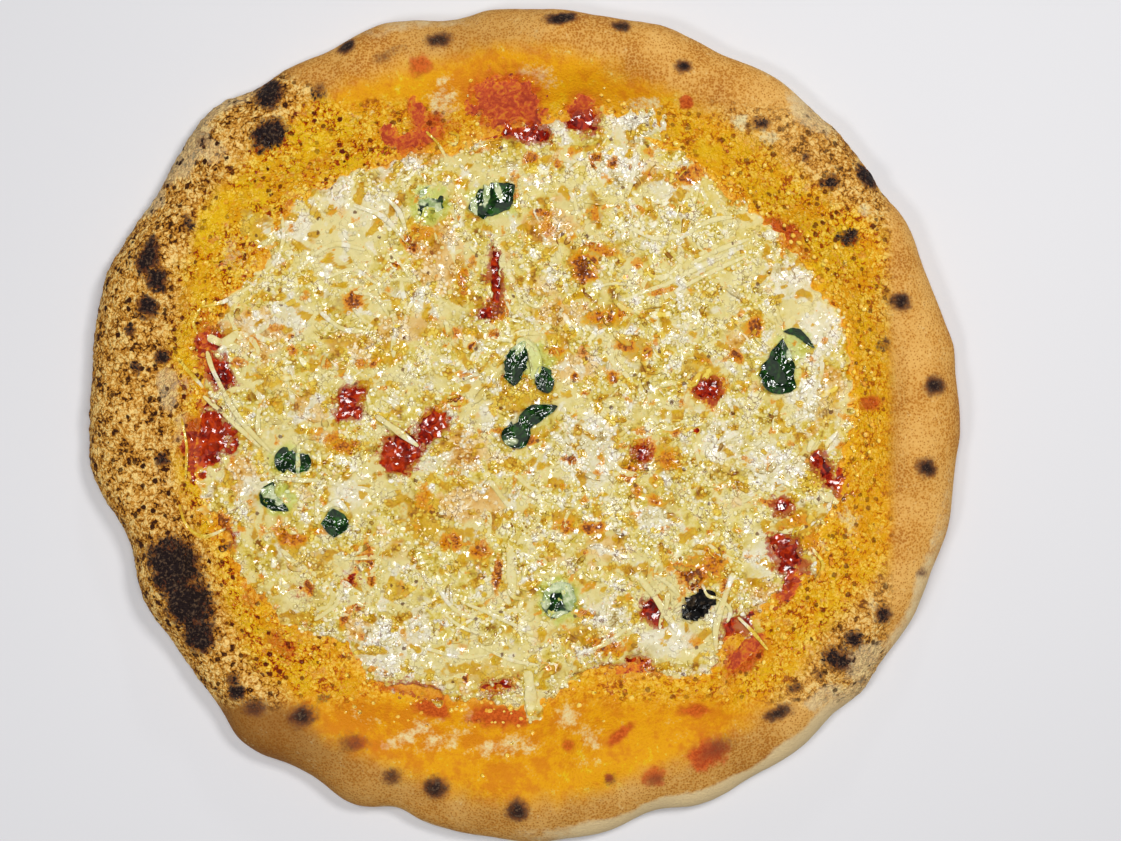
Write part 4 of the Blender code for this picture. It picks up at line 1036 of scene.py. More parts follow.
toastSpots = (
    (-60, 44, 4, 4, 0.95), (-40, 64, 2.4, 3.6, 1, 40), (-36, 68, 4, 3, 0.6), (-77, 46, 2, 2, 0.6),
    (-88, 34, 3, 2, 0.6), (-82, 26, 2, 2, 0.7), (-70, 22, 3, 2.4, 0.75), (-57, 22, 2.4, 2, 0.8),
    (-21, 51, 1.8, 6.5, 0.75), (-25, 33, 3, 2.4, 0.7), (-18, 28, 3, 1.2, 1, 35),
    (-45, 57, 3.6, 1.1, 0.9, -40), (-9, 41, 4.6, 4.6, 0.95), (-10, 32, 2, 1.8, 0.8), (-63, -8, 5, 2.6, 0.8),
    (-68, -5, 3, 2, 0.7, 30), (-25, -42, 4, 3.4, 0.8), (-35, -26, 3, 4, 0.6), (-15, -46, 4, 3, 0.8),
    (-9, -54, 1.6, 7, 0.9, -8), (-54, -50, 2, 8, 0.9, 8), (-59, -46, 1.3, 4, 0.7, 10), (-62, -57, 3, 2, 1),
    (-76, -58, 1.8, 3, 1, 20), (-58, -65, 3.6, 1.5, 0.9, 20), (-63, -69, 1.5, 3, 0.9, -20),
    (-57, -76, 2, 2, 0.6), (-83, -40, 6, 3.5, 0.8, -30), (-72, -38, 3, 2, 0.5), (-107, -35, 3.4, 3.4, 1),
    (-105, -41, 3.4, 2.2, 0.9), (22, 56, 4.6, 5.6, 1), (7, 75, 4, 1.8, 0.8), (9, 70, 3, 3, 0.6),
    (26, 75, 1.1, 4, 0.7), (25, 63, 4, 2, 0.8), (31, 61, 4, 1.8, 0.7), (41, 57, 2, 2, 0.6),
    (29, 38, 6, 2.4, 0.9), (36, 40, 3, 2, 0.8), (37, 28, 4.5, 2.2, 0.85, -10), (45, 26, 2, 2.6, 0.9),
    (48, 47, 3, 1.5, 0.7), (83, 35, 3, 4, 1), (76, 24, 2.6, 2.2, 1, -30), (67, 12, 6, 5.5, 0.95),
    (32, 17, 2.2, 3, 0.95), (19, 17, 1.3, 1.3, 1.1), (12, 26, 3, 2, 0.7), (58, 88, 4.5, 3.4, 0.95, 20),
    (63, 90, 2, 3, 0.9), (46, 89, 2, 2, 0.8), (26, 94, 2.2, 3, 0.9), (32, 93, 2.2, 2.2, 1),
    (45, 97, 2, 1.8, 0.7), (13, 93, 2, 1.6, 0.7), (3, 95, 3, 2, 0.9), (38, -17, 2.6, 3.4, 0.9, -30),
    (52, -13, 4, 4, 0.7), (17, -13, 1.8, 2.2, 0.9), (25, -37, 5, 2.2, 1), (16, -36, 2.6, 3, 0.8),
    (47, -27, 3, 2.4, 0.8), (41, -24, 2, 3, 0.7), (55, -3, 1.8, 1.6, 0.9), (3, -6, 2.6, 1.4, 1, 20),
    (61, -55, 6, 4, 1, -30), (56, -52, 4, 3, 0.7, -40), (68, -50, 4, 6, 0.8, 10), (72, -58, 1.5, 4, 0.9),
    (46, -87, 5, 2, 0.9, -20), (90, -28, 8, 1.5, 0.8, -4), (98, -35, 5, 3, 0.6), (103, -42, 3, 5, 0.6),
    (-20, -91, 1, 2.2, 1, -20), (7, -49, 1.8, 1.6, 0.6), (30, -79, 7, 4, 0.8), (-53, 21, 1.2, 1.2, 0.9),
    (-30, 5, 9, 2, 0.6, 30), (-24, 8, 3, 3, 1), (44, -9, 4, 5, 0.8, 20), (-95, 30, 3, 2, 0.6),
    (-101, 22, 3, 2, 0.7), (22, 26, 3, 2, 0.6),
)
greenSpots = (
    (-33, 78, 8, 8, 0.9), (-11, 79, 11, 8, 0.7), (4, 22, 8, 8, 0.8), (97, 28, 8, 7, 0.8, -30),
    (91, 18, 9, 9, 0.6), (-83, -13, 9, 7, 0.7), (-87, -26, 7, 7, 0.9), (-66, -34, 7, 7, 0.5),
    (13.5, -62.5, 9, 9, 0.9), (3, 1, 11, 8, 0.5, 30),
)
# places melted smooth, without grated grains on them
smoothSpots = (
    (-65, 68, 17, 15, 1, 30), (-80, 37, 9, 7, 0.9), (-55, 45, 11, 8, 0.7), (-18, -84, 24, 7, 0.9, 5),
    (55, -78, 14, 7, 1, 5), (100, 38, 10, 13, 1, -30), (85, -46, 6, 11, 0.9), (-60, -25, 9, 9, 0.8),
    (-85, -5, 10, 8, 0.7), (-10, 86, 20, 6, 0.6), (-92, -28, 8, 10, 0.8), (22, 80, 16, 6, 0.4),
    (-45, -62, 8, 6, 0.6), (-105, 66, 15, 12, 0.5, 60), (50, -60, 9, 8, 0.8), (66, 58, 16, 5, 0.6, 25),
    (-80, -62, 8, 6, 0.5), (-25, 40, 5, 5, 0.5),
)


def cheeseThickness(x, y):
    # the sheet's thickness over what it lies on: 0 at its ragged edge, negative where the sauce is bare
    a, r = polar(x, y)
    p = flat(x, y)
    inside = cheeseRadius(a) - r
    inside = inside + cheese["edgeWander"] * fractalNoise(p, cheese["edgeSize"], 61)
    inside = inside + cheese["fineWander"] * gradientNoise(p, cheese["fineSize"], 64)
    thick = -cheese["buried"] + (pizza["cheeseThickness"] + cheese["buried"]) * smoothstep(-3, 3, inside)
    dip = spots(x, y, sauceGaps, 0.75, 65)
    pinholes = smoothstep(0.5, 0.78, gradientNoise(p, cheese["pinholeSize"], 66))
    pinholes = pinholes * smoothstep(-0.25, 0.4, gradientNoise(p, cheese["pinholeRegion"], 67))
    thick = thick - (cheese["gapDepth"] + cheese["gapRoughness"] * gradientNoise(p, 2.4, 69)) * dip
    thick = thick - cheese["pinholeDepth"] * pinholes
    return np.maximum(thick, -cheese["buried"] + cheese["patchHeight"] * spots(x, y, ringPatches, 0.6, 68))


def meltedShare(x, y):
    # 1 where the sheet has melted smooth, 0 where grated cheese lies on it
    soft = 0.85 * smoothstep(-0.05, 0.4, fractalNoise(flat(x, y), 11, 97))
    return np.maximum(spots(x, y, smoothSpots, 0.4, 87), soft)


def meltRelief(x, y):
    # soft lumps, and between them the ridges 1 - |noise| of half-melted shreds that run two ways
    p = flat(x, y)
    bends = [gradientNoise(p, cheese["bendSize"], seed) for seed in (75, 76)]
    q = p + cheese["bend"] * np.stack([*bends, np.zeros_like(p[..., 0])], axis=-1)
    squash = cheese["ridgeSquash"]
    upright, level = (1 - 2.6 * np.abs(gradientNoise(q * squeeze, cheese["ridgeSize"], seed))
                      for squeeze, seed in (((1, squash, 1), 77), ((squash, 1, 1), 78)))
    which = smoothstep(-0.3, 0.3, gradientNoise(p, 11, 79))
    ridge = upright * which + level * (1 - which)
    calm = 1 - cheese["calm"] * meltedShare(x, y)
    fine = cheese["fineLumps"] * calm * gradientNoise(p, cheese["fineLumpSize"], 73)
    lumps = fractalNoise(p, cheese["lumpSize"], 71, 2) + fine
    return cheese["lumpHeight"] * lumps + cheese["ridgeHeight"] * np.clip(ridge, -0.6, 1) * calm


def cheeseTop(x, y):
    # crust, sauce, the sheet's thickness, and its relief where the sheet is whole
    a, r = polar(x, y)
    thick = cheeseThickness(x, y)
    sauceBase = pizza["sauceThickness"] * smoothstep(-2, 4, sauceRadius(a) - r)
    return crustTop(x, y) + sauceBase + thick + meltRelief(x, y) * smoothstep(-0.3, 1.8, thick)


def grainy(x, y):
    # 1 where grated cheese lies thick, 0 where the sheet has melted smooth
    p = flat(x, y)
    patchy = smoothstep(-0.6, 0.3, gradientNoise(p, 13, 92) + 0.4 * gradientNoise(p, 5, 93))
    return patchy * (1 - 0.97 * meltedShare(x, y))


# attribute: its spots, their raggedness and seed, and a noise of which size and seed adds how much from where
cheeseSpots = {
    "oil": (oilPools, 0.6, 81, 6, 86, 1, (0.0, 0.4)),
    "white": (whiteSpots, 0.45, 82, 6, 94, 0.9, (0.05, 0.5)),
    "peach": (peachSpots, 0.45, 84, 9, 90, 0.8, (0.1, 0.6)),
}


def cheeseFields(x, y):
    # what colours the cheese, 0..1: oil, white curd, peach, toasting, green near leaves, sauce shining
    # through, thinness, and where it has melted smooth
    p = flat(x, y)
    wetHalo = [(atX, atY, along + 2, across + 2, *rest) for atX, atY, along, across, *rest in sauceGaps]
    toastNoise = smoothstep(0.34, 0.8, gradientNoise(p, 5, 88) + 0.4 * gradientNoise(p, 2, 89))
    fields = {}
    for name, (table, ragged, seed, size, noiseSeed, most, limits) in cheeseSpots.items():
        extra = most * smoothstep(*limits, fractalNoise(p, size, noiseSeed))
        fields[name] = np.maximum(spots(x, y, table, ragged, seed), extra)
    return {
        **fields,
        "toast": np.maximum(spots(x, y, toastSpots, 0.6, 85), 0.62 * toastNoise),
        "green": spots(x, y, greenSpots, 0.4, 83),
        "wet": spots(x, y, wetHalo, 0.5, 65),
        "thinness": smoothstep(1.4, 0.0, cheeseThickness(x, y)) * (1 - spots(x, y, ringPatches, 0.6, 68)),
        "melted": meltedShare(x, y),
    }


def makeCheeseMaterial():
    # one material for sheet, grains and shreds: "tone" is a grain's own shade, or how high the sheet stands
    material, tree, shader = newMaterial("meltedProvolone", **{"Specular IOR Level": 0.55})
    melted, white = field(tree, "melted"), field(tree, "white")
    curds = noise(tree, 2.2, 3.0, 0.6)
    crisp = noise(tree, 0.9, 2.0, 0.6)
    broad = noise(tree, 7.0, 3.0, 0.6)
    calm = weigh(tree, (melted, -0.6), 1.0)
    high = weigh(tree, (broad, 0.9), (curds, 0.5), (crisp, 0.3), (field(tree, "tone"), 0.5), -0.6)
    # where it has melted smooth its shades draw together
    high = weigh(tree, (remap(tree, high, 0.18, 0.84, -0.6, 0.4), calm), 0.6)

    def layer(below, name, low, top, most, byCurds, byCrisp, colour):
        amount = weigh(tree, field(tree, name), (curds, byCurds), (crisp, byCrisp), -(byCurds + byCrisp) / 2)
        return mixColour(tree, remap(tree, amount, low, top, 0.0, most), below, colour)

    def shades(name):
        return ramp(tree, high, tuple(zip((0, 0.3, 0.62, 1), cheese[name])))

    skin = mixColour(tree, times(tree, melted, 0.6), shades("plain"), cheese["melt"])
    for name, kind, low, top, most in cheeseLayers:
        skin = layer(skin, name, low, top, most, 0.6, 0.3, shades(kind))
    for name, kind, low, top, most in cheeseStains:
        skin = layer(skin, name, low, top, most, 1.0, 1.2, cheese[kind])
    # painted shade: thin dark lines like shaded creases between the curds, broken off here and there
    borders = voronoi(tree, wandering(tree, 2.2, 3.0), cheese["creasesPerMetre"], "DISTANCE_TO_EDGE")
    creaseShade = times(tree, remap(tree, borders["Distance"], 0.0, 0.09, 1.0, 0.0), remap(tree, broad, 0.5, 0.6))
    creaseShade = times(tree, creaseShade, weigh(tree, (melted, -0.5), 0.85))
    skin = mixColour(tree, creaseShade, skin, cheese["creaseShade"])
    specks = useGroup(tree, bakedSpecks, cheese["specks"])["Speck"]
    skin = mixColour(tree, times(tree, specks, 0.8), skin, cheese["brown"])
    tree.links.new(skin, shader.inputs["Base Color"])
    # most glints where white curd stands up
    clustered = remap(tree, noise(tree, 14, 2.0), 0.45, 0.65, 0.25, 0.8)
    share = times(tree, calc(tree, "ADD", clustered, remap(tree, white, 0.3, 1.0, 0.0, 0.5)), calm)
    skinOil = {**cheese["oilySkin"], "Wet share": share, "Film": weigh(tree, (melted, 0.2), 0.45)}
    oily(tree, shader, skinOil, cheese["bumpHeight"])
    return material


def makeCheese(material):
    # the melted sheet, whose tone is paler the higher it stands
    def fieldsOf(x, y):
        return {"tone": np.clip(0.5 + 0.3 * meltRelief(x, y), 0, 1), **cheeseFields(x, y)}

    def radius(a):
        return footRadius(a) + 12

    obj = shell("meltedSheet", cheese["size"], radius, cheeseTop, cheese["lining"], fieldsOf, material)
    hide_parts("melted_cheese")
    print("cheese sheet made")


# Part: grated grains, bits and shreds

grains = {
    "spacing": 1.15, "reach": 134, "radius": (0.34, 0.85), "seed": 91, "share": 0.72, "ringShare": 0.3,
    "ringReach": 5, "ringSize": 1.2, "stretch": 1.4, "flatness": 0.7, "dents": 0.22, "tone": (0.7, 0.26),
    # painted light and shade: a grain's top is painted paler and its underside darker, which gives it a dark
    # rim
    "shade": 0.45,  # how much paler a grain is on top than below
}


def jitteredPlaces(spacing, radius, seed):
    # one random place in every cell of a square grid over the disc
    draw = np.random.default_rng(seed)
    line = np.arange(-radius, radius, spacing)
    x, y = np.meshgrid(line, line)
    x = (x + spacing * draw.random(x.shape)).ravel()
    y = (y + spacing * draw.random(y.shape)).ravel()
    keep = np.hypot(x, y) < radius
    return x[keep], y[keep], draw


def icosahedron():
    # twelve corners of three golden rectangles, and twenty faces turned outwards
    g = (1 + math.sqrt(5)) / 2
    corners = np.array([(-1, g, 0), (1, g, 0), (-1, -g, 0), (1, -g, 0), (0, -1, g), (0, 1, g), (0, -1, -g),
                        (0, 1, -g), (g, 0, -1), (g, 0, 1), (-g, 0, -1), (-g, 0, 1)]) / math.sqrt(1 + g * g)
    faces = np.array([(0, 11, 5), (0, 5, 1), (0, 1, 7), (0, 7, 10), (0, 10, 11), (1, 5, 9), (5, 11, 4),
                      (11, 10, 2), (10, 7, 6), (7, 1, 8), (3, 9, 4), (3, 4, 2), (3, 2, 6), (3, 6, 8),
                      (3, 8, 9), (4, 9, 5), (2, 4, 11), (6, 2, 10), (8, 6, 7), (9, 8, 1)])
    return corners, faces


def scatterBlobs(name, x, y, z, size, draw, fields, material):
    # a bumpy blob at each place: an icosahedron stretched along a random direction, flattened and dented
    corners, faces = icosahedron()
    count = len(x)
    length = size * draw.uniform(1.0, grains["stretch"], count)
    turn = draw.uniform(0, np.pi, count)
    dents = 1 + draw.uniform(-grains["dents"], grains["dents"], (count, 12))
    local = corners[None] * dents[..., None]
    along, across = local[..., 0] * length[:, None], local[..., 1] * size[:, None]
    c, s = np.cos(turn)[:, None], np.sin(turn)[:, None]
    points = np.stack([x[:, None] + along * c - across * s, y[:, None] + along * s + across * c,
                       z[:, None] + local[..., 2] * size[:, None] * grains["flatness"]], axis=-1)
    numbers = faces[None] + 12 * np.arange(count)[:, None, None]
    fields = {key: np.repeat(values, 12) for key, values in fields.items()}
    # painted light and shade: paler at each grain's upper corners, darker at its lower ones
    fields["tone"] = fields["tone"] + grains["shade"] * (np.tile(corners[:, 2], count) - 0.4)
    obj = newPiece(name, points, [numbers.reshape(-1, 3)], fields, material)


def makeGrains(material):
    # grains where the sheet is whole and grated cheese lies; past its edge they thin out over the slope
    x, y, draw = jitteredPlaces(grains["spacing"], grains["reach"], grains["seed"])
    a, r = polar(x, y)
    thick = cheeseThickness(x, y)
    beyond = np.clip(r - cheeseRadius(a), 0, None)
    ring = (beyond > 0) & (thick <= 0.4)
    density = grains["share"] * grainy(x, y) - 0.5 * spots(x, y, greenSpots, 0.3, 83) + 0.04
    density = np.where(ring, grains["ringShare"] * np.exp(-beyond / grains["ringReach"]), density)
    keep = ((thick > 0.4) | ring) & (draw.random(len(x)) < density) & (r < goldLimit(a) - 5)
    x, y, ring = x[keep], y[keep], ring[keep]
    size = draw.uniform(*grains["radius"], len(x)) * np.where(ring, grains["ringSize"], 1)
    z = np.where(ring, crustTop(x, y) - 0.15, cheeseTop(x, y)) + 0.1 * size
    middleTone, spread = grains["tone"]
    tone = np.clip(middleTone + spread * draw.normal(size=len(x)), 0.1, 1.2)
    fields = {"tone": tone, **cheeseFields(x, y)}
    fields["thinness"] = np.where(ring, 1.0, fields["thinness"] * 0.7)
    for number in range(3):
        pick = np.arange(len(x)) % 3 == number
        own = {name: values[pick] for name, values in fields.items()}
        scatterBlobs(f"gratedGrains{number + 1}", x[pick], y[pick], z[pick], size[pick], draw, own, material)
    print("grains:", len(x))


shreds = {
    "standing": {"rings": 42, "sides": 12, "height": 0.35, "lift": 0.65, "tone": (0.65, 0.2)},
    "taper": 0.86, "waves": 0.16, "sunkSide": 0.5, "edgeRoom": 0.8, "reach": 116, "bend": 0.5,
    "bitRings": 8,  # bits and flakes have no more points along than this, long shreds have
}
# loose shreds, bits and flakes: how many, (shortest, longest), (narrowest, widest) and (lowest, highest) over
# the cheese in mm, (mean, spread) of their shade, points along and round, height against half width, and
# the share that keeps off smooth cheese
looseCheese = {
    "scatteredShreds": (90, (10, 24), (1.5, 2.3), (-0.35, 0.1), (0.65, 0.1), 14, 8, 0.25, 0.15),
    "gratedBits": (260, (2.2, 6.0), (0.5, 1.0), (0.0, 0.3), (0.65, 0.3), 5, 5, 0.7, 0.9),
    "meltedFlakes": (520, (2.4, 8.5), (0.9, 2.6), (0.0, 0.1), (0.6, 0.25), 6, 6, 0.35, 0.9),
}
# shreds that stand out: points (x, y) along each, its width, its height over the cheese and its green tint
standingShreds = (
    (((-112.5, 26), (-109.7, 18), (-100.5, 2), (-89, -10.5)), 1.8, 1.2, 0),
    (((-114, 10), (-107, 4.3), (-100, -2), (-93, -8.5)), 1.6, 1.0, 0),
    (((-93.7, 5.5), (-94, 0), (-93.7, -4)), 1.7, 1.0, 0.2),
    (((-112, 31), (-106, 29), (-101, 33)), 3.2, 0.5, 0), (((-109, 24), (-105, 28), (-100, 27)), 2.2, 0.7, 0),
    (((-121, -28.5), (-118.5, -35.5), (-113, -40), (-105, -37)), 1.3, 0.7, 0),
    (((-86, 75), (-85, 67), (-86.5, 60)), 1.3, 0.5, 0),
    (((-86, 60), (-91.6, 54.7), (-97, 53.6)), 1.2, 0.5, 0),
    (((-96, 49.7), (-105, 44.4), (-114, 41.5)), 1.3, 0.5, 0),
    (((-114, 41.5), (-116.5, 36), (-115.4, 32)), 1.1, 0.4, 0),
    (((-122, 23.4), (-118.6, 18.8), (-114, 13)), 1.5, 0.4, 0.1),
    (((-121, 2), (-119.5, -8), (-119.5, -20)), 1.2, 0.4, 0.1),
    (((-52, 3), (-45, -2), (-37, -8)), 2.2, 1.6, 0),
    (((-79.5, -7), (-79.6, -13), (-79.5, -19)), 1.5, 1.7, 0.4),
    (((-88, -19), (-80, -20), (-71, -20)), 1.6, 0.5, 0.4), (((-20, -64), (-8, -69), (4, -75)), 1.4, 0.6, 0),
    (((-4, -44), (-4, -52), (-3, -60)), 3.2, 0.3, 0), (((2, -88), (3, -96), (3, -104)), 4.0, 0.1, 0),
    (((75, -53), (72, -62), (69, -72), (69, -80)), 2.2, 1.2, 0),
    (((42, -55), (49, -64), (55, -74)), 2.6, 0.8, 0), (((52, -60), (51, -66), (49, -73)), 2.0, 0.9, 0),
    (((77, -69), (82, -74), (87, -80)), 1.3, 1.0, 0), (((47, -54), (52, -57), (56, -61)), 1.6, 0.6, 0),
    (((70, -62), (74, -66), (73, -71)), 1.4, 1.0, 0), (((50, 49), (63, 56), (77, 62)), 1.9, 0.6, 0),
    (((54, 47), (67, 54), (80, 60)), 1.6, 0.6, 0), (((60, 57), (70, 62), (81, 66)), 1.7, 0.7, 0),
    (((36, 44), (46, 48), (55, 51)), 1.3, 0.5, 0),
    (((-26, 104), (-23, 103), (-24, 100), (-27, 101)), 1.1, 0.8, 0),
    (((-71, -31), (-66, -28), (-62, -31)), 2.4, 0.5, 0.3),
    (((0, 47), (2, 43), (6, 42), (8, 46)), 1.0, 0.5, 0), (((-34, 104), (-30, 100), (-27, 95)), 1.0, 0.7, 0),
    (((22, 47), (32, 50), (42, 49)), 1.1, 0.5, 0), (((-70, 52), (-60, 55), (-52, 50)), 1.4, 0.4, 0),
    (((-60, 47), (-52, 45), (-47, 38)), 1.3, 0.5, 0), (((-48, 62), (-43, 57), (-40, 52)), 1.2, 0.5, 0),
    (((103, -44), (107, -50), (104, -56)), 1.3, 0.6, 0.2),
    (((104, -28), (108, -26), (113, -28)), 3.4, 0.4, 0.2),
    (((-28, -67), (-22, -72), (-12, -76)), 1.2, 0.5, 0), (((-34, -80), (-22, -83), (-12, -82)), 1.5, 0.4, 0),
    (((-15, -79), (-4, -84), (6, -86)), 1.3, 0.4, 0),
    (((-2, 29.5), (3, 27.5), (5, 21), (4, 16)), 4.0, 1.6, 0.55),
    (((54, -67), (57, -65), (60.5, -65)), 1.2, 2.2, 0), (((55, -70), (58, -69), (60, -70.5)), 1.1, 2.0, 0),
    (((64, -57), (66, -61), (70, -62)), 1.1, 2.2, 0), (((-60, 78), (-50, 74), (-42, 66)), 1.8, 0.7, 0),
    (((-75, 60), (-66, 64), (-56, 62)), 1.7, 0.7, 0), (((-72, 40), (-64, 34), (-55, 33)), 1.7, 0.7, 0),
    (((-50, 82), (-44, 76), (-41, 68)), 1.6, 0.7, 0), (((56, 66), (66, 72), (76, 74)), 1.7, 0.7, 0),
    (((38, 70), (48, 66), (60, 68)), 1.6, 0.6, 0), (((-30, -58), (-24, -66), (-14, -70)), 1.6, 0.7, 0),
    (((20, -82), (30, -78), (38, -72)), 1.6, 0.7, 0), (((-74, -70), (-66, -64), (-64, -56)), 1.6, 0.6, 0),
)


def spline(points, count):
    # a smooth curve through a few points: Catmull-Rom, evaluated for all places along it at once
    p = np.array(points, dtype=float)
    p = np.concatenate([[2 * p[0] - p[1]], p, [2 * p[-1] - p[-2]]])
    t = np.linspace(0, len(points) - 1 - 1e-9, count)
    k = np.floor(t).astype(int)
    f = (t - k)[:, None]
    a, b, c, d = p[k], p[k + 1], p[k + 2], p[k + 3]
    square, cube = 2 * a - 5 * b + 4 * c - d, 3 * b - a - 3 * c + d
    return 0.5 * (2 * b + (c - a) * f + square * f ** 2 + cube * f ** 3)


def sweptShreds(name, paths, widths, lifts, tone, material, rings, sides, height, green=0.0):
    # each path (rings, 2) carries an oval section, flat below, that narrows to its ends; z follows the
    # highest of cheese, sauce and crust, smoothed along the path
    paths = np.stack(paths)
    count = len(paths)
    x, y = paths[..., 0], paths[..., 1]
    along = np.gradient(paths, axis=1)
    along /= np.linalg.norm(along, axis=-1)[..., None] + 1e-9
    z = np.maximum(np.maximum(cheeseTop(x, y), sauceTop(x, y)), crustTop(x, y))
    for _ in range(2):
        z[:, 1:-1] = (z[:, :-2] + 2 * z[:, 1:-1] + z[:, 2:]) / 4
    share = np.linspace(-1, 1, rings)[None, :]
    taper = np.sqrt(np.clip(1 - shreds["taper"] * share ** 6, 0, 1))
    half = widths[:, None] / 2 * taper * (1 + shreds["waves"] * np.sin(5 * share + 9 * tone[:, None]))
    turn = np.arange(sides) * 2 * np.pi / sides
    across = np.cos(turn) * half[..., None]
    up = np.where(np.sin(turn) < 0, shreds["sunkSide"], height) * np.sin(turn) * half[..., None]
    lift = lifts[:, None] * (0.35 + 0.65 * np.cos(np.pi / 2 * share) ** 0.6)
    points = np.stack([x[..., None] - along[..., 1, None] * across,
                       y[..., None] + along[..., 0, None] * across,
                       (z + lift)[..., None] + up], axis=-1)
    each = rings * sides
    ring = np.arange(sides)
    first, last = np.zeros(sides - 2, dtype=int), np.full(sides - 2, each - sides)
    caps = np.concatenate([np.stack([first, ring[1:-1], ring[2:]], axis=-1),
                           np.stack([last, last + ring[2:], last + ring[1:-1]], axis=-1)])
    shift = each * np.arange(count)[:, None, None]
    tube = gridFaces(rings, sides, True)[:, ::-1]
    groups = [(tube[None] + shift).reshape(-1, 4), (caps[None] + shift).reshape(-1, 3)]
    x, y = x.ravel(), y.ravel()
    fields = {"tone": np.repeat(tone, rings), **cheeseFields(x, y)}
    fields.update(toast=0.2 * fields["toast"], wet=0.0 * fields["wet"], thinness=0.0 * fields["thinness"])
    if rings > shreds["bitRings"]:
        # long shreds are paler than the cheese under them, and golden where they lie on the crust
        a, r = polar(x, y)
        beyond = smoothstep(0, 5, r - cheeseRadius(a))
        fields.update(oil=np.maximum(0.3 * fields["oil"], 0.85 * beyond), peach=0.4 * fields["peach"],
                      melted=0.75 * (1 - beyond), white=np.maximum(fields["white"], 0.15) * (1 - beyond))
    fields["green"] = np.maximum(fields["green"], np.repeat(np.broadcast_to(green, count), rings))
    fields = {key: np.repeat(values, sides) for key, values in fields.items()}
    # painted shade: each shred is painted darker along its two sides
    fields["tone"] = fields["tone"] + 0.05 - 0.3 * np.tile(np.abs(np.cos(turn)) ** 6, count * rings)
    obj = newPiece(name, points, groups, fields, material)


def randomPaths(count, lengths, rings, seed, shy):
    # arcs of random length, turn and bend that lie on the cheese, away from its gaps and from the leaves;
    # shy is the share that keeps off places melted smooth
    draw = np.random.default_rng(seed)
    tries = count * 4
    r, a = shreds["reach"] * np.sqrt(draw.random(tries)), 2 * np.pi * draw.random(tries)
    length, turn = draw.uniform(*lengths, tries)[:, None], 2 * np.pi * draw.random(tries)[:, None]
    bend = draw.normal(0, shreds["bend"], tries)[:, None]
    s = np.linspace(-0.5, 0.5, rings)[None, :]
    heading = turn + bend * 2 * s + 0.25 * np.sin(6 * s + turn)
    step = length / (rings - 1)
    x = (r * np.cos(a))[:, None] + np.cumsum(np.cos(heading) * step, axis=1) - length / 2 * np.cos(turn)
    y = (r * np.sin(a))[:, None] + np.cumsum(np.sin(heading) * step, axis=1) - length / 2 * np.sin(turn)
    green = spots(x, y, greenSpots, 0.2, 83).max(axis=1)
    middle = rings // 2
    settled = draw.random(tries) > shy * meltedShare(x[:, middle], y[:, middle])
    good = (cheeseThickness(x, y).min(axis=1) > shreds["edgeRoom"]) & (green < 0.35) & settled
    return [np.stack([x[k], y[k]], axis=-1) for k in np.flatnonzero(good)[:count]], draw


def makeShreds(material):
    # first the shreds that stand out, then the loose ones at random
    standing = shreds["standing"]
    paths = [spline(points, standing["rings"]) for points, *_ in standingShreds]
    widths, lifts, green = (np.array([shred[k] for shred in standingShreds]) for k in (1, 2, 3))
    lowest, spread = standing["tone"]
    tone = lowest + spread * np.random.default_rng(3).random(len(paths))
    sweptShreds("standingShreds", paths, widths, standing["lift"] * lifts, tone, material,
                standing["rings"], standing["sides"], standing["height"], green)
    for seed, (name, values) in enumerate(looseCheese.items(), start=95):
        count, lengths, width, lift, tones, rings, sides, height, shy = values
        paths, draw = randomPaths(count, lengths, rings, seed, shy)
        tone = np.clip(draw.normal(*tones, len(paths)), 0, 1.1)
        widths, lifts = draw.uniform(*width, len(paths)), draw.uniform(*lift, len(paths))
        sweptShreds(name, paths, widths, lifts, tone, material, rings, sides, height)
        print(name, len(paths))


# Part: basil

# node: points (x, y) along the midrib, half widths from stalk to tip, then curl of the edges, crumple,
# sinking into the cheese in the middle, frayed edges
leaves = {
    "basil_leaf_top": (((-19, 76.5), (-11, 79.5), (-2.5, 85)), (1, 4.6, 6, 5.4, 1), 0.8, 1.3, 0.2, 0.4),
    "basil_leaf_under_cheese": (((-36, 74), (-33, 79), (-31, 85)), (1, 3.6, 4.6, 4, 1.6), 0.5, 0.7, 1.7, 0.4),
    "basil_leaf_middle_left": (((-3, 13.5), (-2.6, 21), (1, 29.5)), (1, 3.4, 4.2, 3.8, 1.6),
                               1.0, 1.5, -0.2, 0.35),
    "basil_leaf_middle_right": (((9.6, 11), (8, 15.5), (6.4, 20.5)), (1.2, 3.2, 3.4, 3, 1.2),
                                1.0, 1.3, -0.2, 0.3),
    "basil_leaf_middle_low": (((-7.4, -4.6), (-1, -3.4), (3, 2.6), (12.6, 6.4)), (2.6, 5.4, 2.4, 3.6, 1),
                              1.2, 1.8, -0.5, 0.4),
    "basil_leaf_right": (((89, 11), (91.5, 19), (92.6, 30.5)), (3.6, 6.6, 6.2, 4, 0.3), 0.9, 1.7, -0.4, 0.25),
    "basil_leaf_right_folded": (((93, 33), (98, 32.4), (104, 27)), (0.4, 1.1, 1.3, 1.2, 0.4),
                                0.2, 0.4, 0.0, 0.3),
    "basil_leaf_left": (((-88, -12.4), (-82, -13), (-75, -14.6)), (3, 4, 4, 3.8, 2.6), 0.7, 1.4, 0.1, 0.4),
    "basil_leaf_left_low": (((-88.4, -20.6), (-90.4, -26.4), (-83, -31)), (0.5, 2.5, 3.2, 2.4, 0.5),
                            0.5, 0.6, 0.5, 0.3),
    "basil_leaf_left_square": (((-66.6, -40.4), (-66.5, -35), (-67.6, -29.8)), (0.5, 3.8, 4.8, 3, 0.5),
                               0.6, 1.3, -0.1, 0.25),
    "basil_leaf_bottom": (((10, -69), (13, -62.5), (17, -56.8)), (2, 5, 6, 5, 2), 0.5, 0.7, 0.9, 0.3),
    "burnt_basil_leaf": (((57, -69), (62, -65), (68.6, -60)), (1, 3.6, 4.6, 4.2, 1.6), 1.2, 1.6, -0.4, 0.9),
}
